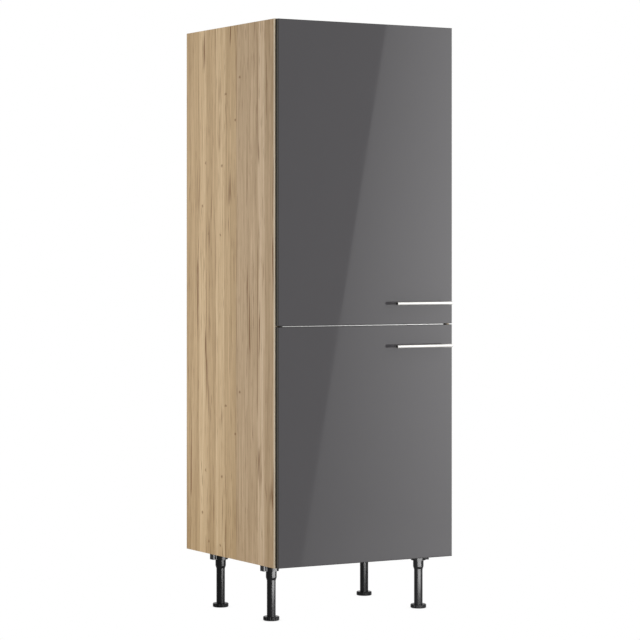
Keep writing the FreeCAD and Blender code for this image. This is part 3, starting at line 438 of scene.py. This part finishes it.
# %% [markdown]
# ## Black moulded plastic
# The legs are injection-moulded polypropylene, filled with carbon black. The mould is polished, so the
# tubes have a soft sheen over a near-black body, with only the faintest grain. A low specular level keeps
# the white studio from veiling the black, and a lamp of their own gives the legs their line of light later
# on.

# %% Black polypropylene
MOULD_GRAIN = 0.9 * MM
plastic, tree, shader, spot = new_material("moulded_black_polypropylene", IOR=1.49, Specular_IOR_Level=0.07)
mould = add(tree, "TexNoise", {"Vector": spot, "Scale": 1 / MOULD_GRAIN, "Detail": 2.0}).outputs["Fac"]
colour = add(tree, "Mix", {"Factor": mould, "A": linear("#080808"), "B": linear("#0d0d0e")},
             data_type="RGBA")
rough = add(tree, "MapRange", {0: mould, **NOISE_SPREAD, 3: 0.23, 4: 0.25}).outputs[0]
bump = add(tree, "Bump", {"Strength": 0.003, "Distance": 0.02 * MM, "Height": mould}).outputs[0]
feed(shader, Base_Color=colour.outputs["Result"], Roughness=rough, Normal=bump)
leg_nodes = [f"leg_{part}_{place}" for part in ("bracket", "tube", "foot") for place in LEGS]
dress(plastic, *leg_nodes)

# %% [markdown]
# ## Hardboard back
# The back panels are thin hardboard: lacquered white toward the room, raw brown fibre toward the wall.
# Pressed fibre has no direction, so noise in two sizes is enough, a felt of about 2 mm and broad darker
# clouds.

# %% Hardboard back
FELT, FELT_CLOUD = 2.2 * MM, 90 * MM
hardboard, tree, shader, spot = new_material("lacquered_hardboard", IOR=1.5)
xyz = add(tree, "SeparateXYZ", {0: spot}).outputs
room = add(tree, "Math", {0: xyz["Y"], 1: BACK_FACE + HAIR}, operation="LESS_THAN").outputs[0]
felt = add(tree, "TexNoise", {"Vector": spot, "Scale": 1 / FELT, "Detail": 4.0,
                              "Roughness": 0.65}).outputs["Fac"]
cloud = add(tree, "TexNoise", {"Vector": spot, "Scale": 1 / FELT_CLOUD, "Detail": 3.0}).outputs["Fac"]
fibre = add(tree, "Mix", {"Factor": felt, "A": linear("#5f452c"), "B": linear("#a27f57")},
            data_type="RGBA").outputs["Result"]
drift = add(tree, "MapRange", {0: cloud, **NOISE_SPREAD, 3: 0.0, 4: 0.35}).outputs[0]
brown = add(tree, "Mix", {"Factor": drift, "A": fibre, "B": linear("#7b5a39")},
            data_type="RGBA").outputs["Result"]
both = add(tree, "Mix", {"Factor": room, "A": brown, "B": linear(WHITE)}, data_type="RGBA")
rough = add(tree, "Mix", {"Factor": room, "A": 0.75, "B": 0.42}).outputs["Result"]
bump = add(tree, "Bump", {"Strength": 0.15, "Distance": 0.1 * MM, "Height": felt}).outputs[0]
feed(shader, Base_Color=both.outputs["Result"], Roughness=rough, Normal=bump)
dress(hardboard, "back_panel_lower", "back_panel_upper")

# %% [markdown]
# ## Beech and clear buffers
# The dowels are raw beech with short darker flecks along the grain, which noise stretched along X gives.
# The door buffers are a soft clear plastic, slightly hazy. Full glass would look too hard, so only part of
# the light goes through.

# %% Beech and clear buffers
BEECH_WIDE, BEECH_LONG, HAZE = 0.8 * MM, 9 * MM, 0.8 * MM
beech, tree, shader, spot = new_material("raw_beech", Roughness=0.6, IOR=1.5)
lines = add(tree, "Mapping", {"Vector": spot, "Scale": (1 / BEECH_LONG, 1 / BEECH_WIDE, 1 / BEECH_WIDE)})
fleck = add(tree, "TexNoise", {"Vector": lines.outputs[0], "Scale": 1.0, "Detail": 2.0}).outputs["Fac"]
colour = add(tree, "Mix", {"Factor": fleck, "A": linear("#b98d5f"), "B": linear("#dcb98d")}, data_type="RGBA")
feed(shader, Base_Color=colour.outputs["Result"])
dress(beech, "wood_dowels")

clear, tree, shader, spot = new_material("clear_soft_buffer", IOR=1.49, Transmission_Weight=0.7)
haze = add(tree, "TexNoise", {"Vector": spot, "Scale": 1 / HAZE, "Detail": 1.0}).outputs["Fac"]
colour = add(tree, "Mix", {"Factor": haze, "A": linear("#e6e8e6"), "B": linear("#f2f3f1")}, data_type="RGBA")
rough = add(tree, "MapRange", {0: haze, **NOISE_SPREAD, 3: 0.18, 4: 0.3}).outputs[0]
feed(shader, Base_Color=colour.outputs["Result"], Roughness=rough)
dress(clear, *[door + "_door_buffers" for door in DOORS])

# %% [markdown]
# ## Softened edges
# No made edge is perfectly sharp, and the thin line of light along it is what makes a board look solid. A
# bevel modifier rounds the edges of the CAD meshes without touching them. The meshes come with split
# corners, so a weld goes first, and a weighted normal keeps the flat faces flat in the light.


# %% Bevels on boards, legs and fittings
WELD_REACH = 0.001 * MM
SHARP_ANGLE = math.radians(50)
BOARD_EDGE, LEG_EDGE = 0.3 * MM, 0.7 * MM


def soften(width, *names):
    """Round the sharp edges of CAD nodes by a width in metres."""
    for name in names:
        nodes[name].modifiers.new("weld", "WELD").merge_threshold = WELD_REACH
        bevel = nodes[name].modifiers.new("bevel", "BEVEL")
        bevel.width, bevel.segments = width, 2
        bevel.limit_method, bevel.angle_limit = "ANGLE", SHARP_ANGLE
        nodes[name].modifiers.new("normals", "WEIGHTED_NORMAL").keep_sharp = True
    print("softened", len(names), "nodes by", width / MM, "mm")


soften(BOARD_EDGE, "side_panel_left", "side_panel_right", "side_edge_bands", "cross_edge_bands",
       "shelf_edge_bands")
soften(BOARD_EDGE, *[f"{door}_hinge_{part}" for door in DOORS for part in ("links", "arms", "plates")])
soften(LEG_EDGE, *["leg_bracket_" + place for place in LEGS])

# %% [markdown]
# ## Helpers for new pieces
# Most small fittings are round, so one helper turns a profile of radius and height points about an axis.
# Another closes a mesh into a named piece: it rides on the CAD body that carries it, takes its material,
# and hides the CAD nodes it stands for. The CAD nodes hold several screws or pins each, so a third helper
# finds the separate solids of a node by walking from corner to corner.


# %% Piece helpers
CREASE = math.radians(35)


def turn(bm, profile, place, steps=32):
    """Turn radius and height points about Z, put the result in its place and return the rings."""
    rings = []
    for radius, rise in profile:
        angles = [i * math.tau / steps for i in range(steps if radius else 1)]
        spots = [Vector((radius * math.cos(a), radius * math.sin(a), rise)) for a in angles]
        rings.append([bm.verts.new(place @ spot) for spot in spots])
    for low, high in zip(rings, rings[1:]):
        for i in range(steps):
            j = (i + 1) % steps
            corners = (low[i % len(low)], low[j % len(low)], high[j % len(high)], high[i % len(high)])
            bm.faces.new(list(dict.fromkeys(corners)))
    return rings


def piece(name, bm, material, body, slot, *stands_for):
    """Make a mesh into a named piece that rides on a body."""
    bmesh.ops.recalc_face_normals(bm, faces=bm.faces)
    mesh = bpy.data.meshes.new(name)
    bm.to_mesh(mesh)
    bm.free()
    mesh.shade_smooth()
    mesh.set_sharp_from_angle(angle=CREASE)
    mesh.materials.append(material)
    obj = bpy.data.objects.new(name, mesh)
    bpy.context.scene.collection.objects.link(obj)
    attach(obj, body)
    if stands_for:
        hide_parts(*stands_for)
    print(name, "with", len(mesh.polygons), "faces rides on", body)
    return obj


def solids(name):
    """Lowest and highest corners of each separate solid in a CAD node."""
    bm = bmesh.new()
    bm.from_mesh(nodes[name].data)
    bmesh.ops.remove_doubles(bm, verts=bm.verts, dist=WELD_REACH)
    boxes, left = [], set(bm.verts)
    while left:
        queue = [left.pop()]
        points = []
        while queue:
            vert = queue.pop()
            points.append(vert.co.copy())
            near = {edge.other_vert(vert) for edge in vert.link_edges} & left
            left -= near
            queue.extend(near)
        boxes.append(tuple(Vector([pick(p[i] for p in points) for i in range(3)]) for pick in (min, max)))
    bm.free()
    return boxes


def facing(out, spot):
    """Placement that puts the origin at a spot and turns +Z to an outward direction."""
    return Matrix.Translation(spot) @ Vector(out).to_track_quat("Z", "Y").to_matrix().to_4x4()


# %% [markdown]
# ## Cross-head screws
# The CAD screws are plain rods. Real ones have a domed pan head with a cross recess. A boolean could cut
# the recess, but it leaves untidy faces. Instead the dome is turned, the top is filled round a cross
# outline, and the outline is sunk. One function makes every size, and each screw goes where the solid of
# its CAD node is, with the head on the side that faces out of the board. The table gives the node, its
# body, the way out, and the shank's radius and the head's height in millimetres.


# %% Cross-head screws
DOME = ((1, 0), (1, 0.3), (0.93, 0.65), (0.8, 0.88), (0.64, 1))
ARM_REACH, ARM_HALF, RECESS_TAPER, RECESS_FLOOR = 0.52, 0.12, 0.8, 0.25
QUARTERS = ((1, 0), (0, 1), (-1, 0), (0, -1))


def cross_screw(bm, place, shank, length, head, rise):
    """A screw with its seat at 0: pointed shank below, domed head with a cross recess above."""
    point = [(0, -length), (shank, 1.5 * shank - length), (shank, 0)]
    rim = turn(bm, point + [(r * head, h * rise) for r, h in DOME], place, 24)[-1]
    arm, half = ARM_REACH * head, ARM_HALF * head
    outline = [(arm, -half), (arm, half), (half, half)]
    corners = [(x * c - y * s, x * s + y * c) for c, s in QUARTERS for x, y in outline]
    mouth = [bm.verts.new(place @ Vector((x, y, rise))) for x, y in corners]
    floor = [bm.verts.new(place @ Vector((RECESS_TAPER * x, RECESS_TAPER * y, RECESS_FLOOR * rise)))
             for x, y in corners]
    edges = [bm.edges.get((rim[i], rim[(i + 1) % len(rim)])) for i in range(len(rim))]
    edges += [bm.edges.new((mouth[i], mouth[(i + 1) % len(mouth)])) for i in range(len(mouth))]
    bmesh.ops.triangle_fill(bm, edges=edges, use_beauty=True)
    for i in range(len(mouth)):
        j = (i + 1) % len(mouth)
        bm.faces.new((mouth[i], mouth[j], floor[j], floor[i]))
    bm.faces.new(floor)


SCREWS = [("back_panel_screws", "carcass", (0, 1, 0), 1.5, 1.5),
          ("wall_bracket_screws", "carcass", (0, 0, -1), 1.5, 1.5)]
for door in DOORS:
    SCREWS += [(door + "_hinge_cup_screws", door + "_door", (0, 1, 0), 1.5, 1.5),
               (door + "_hinge_plate_screws", "carcass", (1, 0, 0), 2.5, 2.2),
               (door + "_handle_screws", door + "_door", (0, 1, 0), 2.0, 2.0)]
for node, body, out, shank, rise in SCREWS:
    bm = bmesh.new()
    axis = [abs(v) for v in out].index(1)
    for low, high in solids(node):
        length = high[axis] - low[axis] - rise * MM
        head = (high[axis - 1] - low[axis - 1]) / 2
        seat = (low + high) / 2
        seat[axis] = high[axis] - rise * MM if out[axis] > 0 else low[axis] + rise * MM
        cross_screw(bm, facing(out, seat), shank * MM, length, head, rise * MM)
    piece(node + "_heads", bm, zinc, body, "zinc_plated_steel", node)

# %% [markdown]
# ## Hinge adjusters
# On the arm of every concealed hinge sit two screws: a small one that moves the door sideways, and a larger
# one that locks the arm on its plate. Both are placed from the mounting plate, which lies under the tail of
# the arm: the table gives how far each sits from its end and the radius of its head, in millimetres.

# %% Adjusting screws on the arms
ARM_SHEET = 6 * MM
ADJUSTERS = ((8, 4.2), (22, 3.2))
ADJUSTER_SHANK, ADJUSTER_DEEP, ADJUSTER_RISE = 1.8 * MM, 4 * MM, 1.3 * MM
for door in DOORS:
    bm = bmesh.new()
    for low, high in solids(door + "_hinge_plates"):
        for inset, head in ADJUSTERS:
            seat = Vector((high.x + ARM_SHEET, high.y - inset * MM, (low.z + high.z) / 2))
            place = facing((1, 0, 0), seat)
            cross_screw(bm, place, ADJUSTER_SHANK, ADJUSTER_DEEP, head * MM, ADJUSTER_RISE)
    piece(door + "_hinge_adjusters", bm, zinc, "carcass", "zinc_plated_steel")

# %% [markdown]
# ## Shelf pins
# A shelf pin has a thin collar that stops it at the board and a rounded nose under the shelf. It is turned
# on a lathe in a real workshop too, so a turned profile is the natural way to make it.

# %% Collared shelf pins
PIN_DEEP, PIN_REACH = 9 * MM, 8 * MM
COLLAR_WIDE, COLLAR_THICK, FILLET = 1.6, 0.6 * MM, 0.8 * MM
bm = bmesh.new()
for low, high in solids("shelf_pins"):
    side = 1 if low.x + high.x < 0 else -1
    seat = Vector((-side * INNER_X, (low.y + high.y) / 2, (low.z + high.z) / 2))
    radius = (high.z - low.z) / 2
    stem = [(0, -PIN_DEEP), (0.8 * radius, -PIN_DEEP), (radius, FILLET - PIN_DEEP), (radius, 0)]
    collar = [(COLLAR_WIDE * radius, 0), (COLLAR_WIDE * radius, COLLAR_THICK), (radius, FILLET)]
    tip = [(radius, PIN_REACH - 1.2 * MM), (0.7 * radius, PIN_REACH - 0.3 * MM), (0, PIN_REACH)]
    turn(bm, stem + collar + tip, facing((side, 0, 0), seat), 24)
piece("collared_shelf_pins", bm, zinc, "carcass", "zinc_plated_steel", "shelf_pins")

# %% [markdown]
# ## Buffers and handle plugs
# A buffer is a small clear dome stuck to the door. The ends of the handle tubes are closed with black
# plastic plugs, slightly domed. Their black is painted reflection: it stands for the dark that the bar's end
# faces reflect. Both are turned as well: the dome from shares of its own radius and height, the plug from a
# profile in millimetres.

# %% Buffer domes and handle plugs, black as a painted dark reflection
BUFFER = ((0, 0), (1, 0), (1, 0.25), (0.92, 0.6), (0.7, 0.88), (0.35, 0.98), (0, 1))
DARK_END_PLUG = ((0, -3), (4.1, -3), (4.2, 0.2), (3.9, 0.6), (2.4, 0.9), (0, 1.0))
for door in DOORS:
    bm = bmesh.new()
    for low, high in solids(door + "_door_buffers"):
        seat = Vector(((low.x + high.x) / 2, low.y, (low.z + high.z) / 2))
        radius, rise = (high.x - low.x) / 2, high.y - low.y
        turn(bm, [(r * radius, h * rise) for r, h in BUFFER], facing((0, 1, 0), seat))
    piece(door + "_buffer_domes", bm, clear, door + "_door", "clear_buffer", door + "_door_buffers")

    # The black of the plugs is a painted reflection: the dark that the bar's end faces show.
    bm = bmesh.new()
    low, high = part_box(door + "_handle_bar")
    middle = (low + high) / 2
    for side, end in ((-1, low.x), (1, high.x)):
        seat = Vector((end, middle.y, middle.z))
        turn(bm, [(r * MM, h * MM) for r, h in DARK_END_PLUG], facing((side, 0, 0), seat))
    piece(door + "_handle_painted_dark_plugs", bm, plastic, door + "_door", "black_plastic")

# %% [markdown]
# ## Rounded door edging
# In the CAD model the edging is four flat strips. The real one is one band wrapped round the door, with its
# outer edges scraped to a small radius that catches the light. It is a frame: a few rectangles, one for
# each point of its cross-section, joined from one to the next.

# %% Edging frame
EDGE_ROUND, ROUND_STEPS = 0.8 * MM, 4
quarter = [i * math.pi / 2 / ROUND_STEPS for i in range(ROUND_STEPS + 1)]
for door in DOORS:
    low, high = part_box(door + "_door_edging")
    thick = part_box(door + "_door_panel")[0].x - low.x
    section = [(thick, low.y)]
    section += [(EDGE_ROUND * (1 - math.sin(a)), low.y + EDGE_ROUND * (1 - math.cos(a))) for a in quarter]
    section += [(inset, low.y + high.y - y) for inset, y in reversed(section)]
    bm = bmesh.new()
    loops = [[bm.verts.new((x, y, z)) for x, z in ((low.x + d, low.z + d), (high.x - d, low.z + d),
                                                   (high.x - d, high.z - d), (low.x + d, high.z - d))]
             for d, y in section]
    for first, second in zip(loops, loops[1:] + loops[:1]):
        for i in range(4):
            j = (i + 1) % 4
            bm.faces.new((first[i], first[j], second[j], second[i]))
    piece(door + "_edging_frame", bm, edging, door + "_door", "dark_edging", door + "_door_edging")

# %% [markdown]
# ## Lip in the door gap
# A light line shows between the two doors, with a dark dot at its right end. The line is a pale grey
# plastic lip on the front edge of the middle board, which closes the gap against dust. The dot is painted
# shade: a black stop on the lip's end, where the end of the gap lies in shadow. The lip is extruded PVC:
# smooth, with faint lines along its length, drawn 0.6 mm wide.

# %% Grey PVC
STREAK_WIDE, STREAK_LONG = 0.6 * MM, 200 * MM
pvc, tree, shader, spot = new_material("extruded_grey_pvc", Roughness=0.35, IOR=1.53)
lines = add(tree, "Mapping", {"Vector": spot, "Scale": (1 / STREAK_LONG, 1 / STREAK_WIDE, 1 / STREAK_WIDE)})
streak = add(tree, "TexNoise", {"Vector": lines.outputs[0], "Scale": 1.0, "Detail": 1.0}).outputs["Fac"]
colour = add(tree, "Mix", {"Factor": streak, "A": linear("#c0c0c0"), "B": linear("#c8c8c8")},
             data_type="RGBA")
feed(shader, Base_Color=colour.outputs["Result"])
print("lip material", pvc.name)

# %% [markdown]
# The section of the lip is a thin foot on the board with a tongue that reaches into the gap and ends in a
# round nose. It is drawn once in Y and Z and then drawn out along X, as the real one is pressed through a
# die. The black stop, a painted shade, has the same section.


# %% Dust lip and its stop of painted shade
LIP_HALF, LIP_REACH, FOOT_HALF, FOOT_THICK = 1.25 * MM, 17.8 * MM, 6 * MM, 0.7 * MM
LIP_LEFT, LIP_RIGHT, SHADE_STOP_RIGHT = -INNER_X, 268 * MM, 277 * MM
NOSE_STEPS = 8
gap_z = (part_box("upper_door_edging")[0].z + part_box("lower_door_edging")[1].z) / 2
board_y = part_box("cross_edge_bands")[0].y
half_turn = [math.pi * (i / NOSE_STEPS - 0.5) for i in range(NOSE_STEPS + 1)]
nose = [(LIP_REACH - LIP_HALF + LIP_HALF * math.cos(a), LIP_HALF * math.sin(a)) for a in half_turn]
foot = [(0, FOOT_HALF), (0, -FOOT_HALF), (FOOT_THICK, -FOOT_HALF), (FOOT_THICK, -LIP_HALF)]
section = foot + nose + [(FOOT_THICK, LIP_HALF), (FOOT_THICK, FOOT_HALF)]


def draw_out(left, right):
    """The section of the lip drawn out along X and closed at both ends."""
    bm = bmesh.new()
    ends = [[bm.verts.new((x, board_y - out, gap_z + rise)) for out, rise in section] for x in (left, right)]
    for i in range(len(section)):
        j = (i + 1) % len(section)
        bm.faces.new((ends[0][i], ends[0][j], ends[1][j], ends[1][i]))
    for end in ends:
        bm.faces.new(end)
    return bm


lip = piece("door_gap_lip", draw_out(LIP_LEFT, LIP_RIGHT), pvc, "carcass", "white_edge_band")
# The black stop is painted shade: a dark piece where the end of the door gap lies in shadow.
piece("door_gap_painted_shade_stop", draw_out(LIP_RIGHT, SHADE_STOP_RIGHT), plastic, "carcass", "black_plastic")

# %% [markdown]
# ## Camera
# The photograph was taken from the left, with the camera level and a little above half height. A level
# camera keeps upright edges upright, so the cabinet is brought into the frame with the lens shift, not by
# tilting. The numbers come from the corners of the cabinet in the photograph.

# %% Camera
PHOTO_SIDE, FOCAL_PIXELS, HORIZON_PIXELS = 640, 2429.5, 63.4
CAMERA_PLACE, CAMERA_YAW = (-3.7004, -6.3843, 1.0655), math.radians(-30.08)
camera_data = bpy.data.cameras.new("photo_camera")
camera_data.sensor_width = 36.0
camera_data.lens = FOCAL_PIXELS / PHOTO_SIDE * camera_data.sensor_width
camera_data.shift_y = -HORIZON_PIXELS / PHOTO_SIDE
camera = bpy.data.objects.new("photo_camera", camera_data)
camera.location = CAMERA_PLACE
camera.rotation_euler = (math.radians(90), 0, CAMERA_YAW)
bpy.context.scene.collection.objects.link(camera)
bpy.context.scene.camera = camera
print("camera lens", round(camera_data.lens, 1), "mm")

# %% [markdown]
# ## White studio
# The photograph has a pure white ground. The world and the floor are white where the camera, a mirror or
# glass looks at them, and a little dimmer as a source of light.


# %% World
SOFT_LIGHT, PURE_WHITE = 0.62, linear("#ffffff")


def seen_directly(tree):
    """1 for rays that show the studio itself: camera, mirror and glass."""
    path = add(tree, "LightPath").outputs
    shiny = add(tree, "Math", {0: path["Is Glossy Ray"], 1: path["Is Transmission Ray"]}, operation="MAXIMUM")
    return add(tree, "Math", {0: path["Is Camera Ray"], 1: shiny.outputs[0]}, operation="MAXIMUM").outputs[0]


world = bpy.data.worlds.new("white_studio")
bpy.context.scene.world = world
world.use_nodes = True
tree = world.node_tree
tree.nodes.clear()
soft = add(tree, "Background", {"Color": PURE_WHITE, "Strength": SOFT_LIGHT})
shown = add(tree, "Background", {"Color": PURE_WHITE, "Strength": 1.0})
both = add(tree, "MixShader", {0: seen_directly(tree), 1: soft.outputs[0], 2: shown.outputs[0]})
add(tree, "OutputWorld", {"Surface": both.outputs[0]})
print("world", world.name)

# %% [markdown]
# The floor is a roll of white paper. A real one would show its own shading and a horizon, so it glows white
# by itself and darkens only where something stands close over it. The ambient occlusion node measures that,
# so the feet keep a soft contact shadow.

# %% Floor
FLOOR_HALF = 40.0
CONTACT_REACH = 0.10
CONTACT_STEP = {1: 0.1, 2: 0.85, 3: 0.70, 4: 1.0}
floor_mesh = bpy.data.meshes.new("studio_floor")
corners = [(x * FLOOR_HALF, y * FLOOR_HALF, 0) for x, y in ((-1, -1), (1, -1), (1, 1), (-1, 1))]
floor_mesh.from_pydata(corners, [], [(0, 1, 2, 3)])
floor = bpy.data.objects.new("studio_floor", floor_mesh)
bpy.context.scene.collection.objects.link(floor)
paper = bpy.data.materials.new("white_paper_roll")
paper.use_nodes = True
tree = paper.node_tree
tree.nodes.clear()
open_sky = add(tree, "AmbientOcclusion", {"Distance": CONTACT_REACH}, samples=8).outputs["AO"]
contact = add(tree, "MapRange", {0: open_sky, **CONTACT_STEP}).outputs[0]
shown = add(tree, "Emission", {"Color": contact, "Strength": 1.0})
lit = add(tree, "BsdfDiffuse", {"Color": linear("#f0f0ef")})
both = add(tree, "MixShader", {0: seen_directly(tree), 1: lit.outputs[0], 2: shown.outputs[0]})
add(tree, "OutputMaterial", {"Surface": both.outputs[0]})
floor_mesh.materials.append(paper)
print("studio floor", 2 * FLOOR_HALF, "m wide")

# %% [markdown]
# ## Softboxes
# Two soft lamps shape the cabinet. The one on the right stands close in front of the doors and leans a
# little, and its slanting edge is the diagonal that the gloss shows. It grows brighter from that edge
# inward and fades toward the floor, as a softbox with one bulb does. The one on the left stands behind the
# oak side's rear edge, so the side is lighter at the rear. An area lamp of power P and area A has the
# radiance P / (pi A).


# %% Softbox helper
def softbox(name, centre, aim, width, tall, radiance, roll=0.0):
    """A rectangular lamp that the camera doesn't see."""
    data = bpy.data.lights.new(name, "AREA")
    data.shape = "RECTANGLE"
    data.size, data.size_y = width, tall
    data.energy = radiance * math.pi * width * tall
    lamp = bpy.data.objects.new(name, data)
    toward = (Vector(aim) - Vector(centre)).to_track_quat("-Z", "Y").to_matrix().to_4x4()
    lamp.matrix_world = Matrix.Translation(centre) @ toward @ Matrix.Rotation(roll, 4, "Z")
    lamp.visible_camera = False
    bpy.context.scene.collection.objects.link(lamp)
    print("lamp", name, "of", round(data.energy, 1), "watts")
    return lamp


# %% Right and left softbox
LEAN = math.radians(10.4)
INWARD_STEP = {1: 0.0, 2: 0.44, 3: 0.75, 4: 2.6}
UPWARD_STEP = {1: 0.15, 2: 0.5, 3: 0.58, 4: 1.0}
right_box = softbox("right_softbox", centre=(1.29, -1.4, 1.0), aim=(1.29, 0, 1.0), width=1.35, tall=2.6,
                    radiance=1.0, roll=-LEAN)
right_box.data.use_nodes = True
tree = right_box.data.node_tree
place = add(tree, "SeparateXYZ", {0: add(tree, "NewGeometry").outputs["Parametric"]}).outputs
inward = add(tree, "MapRange", {0: place["X"], **INWARD_STEP}).outputs[0]
upward = add(tree, "MapRange", {0: place["Y"], **UPWARD_STEP}).outputs[0]
glow = add(tree, "Math", {0: inward, 1: upward}, operation="MULTIPLY").outputs[0]
feed(tree.nodes["Emission"], Strength=glow)
softbox("left_softbox", centre=(-1.0, 1.6, 1.1), aim=(-0.3, 0.15, 0.95), width=1.4, tall=2.0, radiance=2.1)

# %% [markdown]
# A low strip in front gives the black legs their line of light, and a small box on the right makes the lip
# in the door gap brighter toward that end. Both would spoil the gloss of the doors, so each is linked to
# the pieces it is for and lights nothing else.


# %% Linked lamps
def light_only(lamp, name, pieces):
    """Let a lamp light only some pieces, through a collection of them."""
    receivers = bpy.data.collections.new(name)
    for obj in pieces:
        receivers.objects.link(obj)
    lamp.light_linking.receiver_collection = receivers


leg_strip = softbox("leg_strip", centre=(0.1, -0.62, 0.06), aim=(0.05, 0, 0.06), width=0.85, tall=0.12,
                    radiance=80.0)
light_only(leg_strip, "black_legs", [nodes[name] for name in leg_nodes])
gap_box = softbox("gap_box", centre=(0.5, -0.9, gap_z), aim=(0.5, 0, gap_z), width=0.2, tall=0.2,
                  radiance=42.0)
light_only(gap_box, "gap_lip", [lip])

# %% [markdown]
# ## View transform
# The view transform is set to Standard, so a colour renders as it is written.

# %% View
bpy.context.scene.view_settings.view_transform = "Standard"
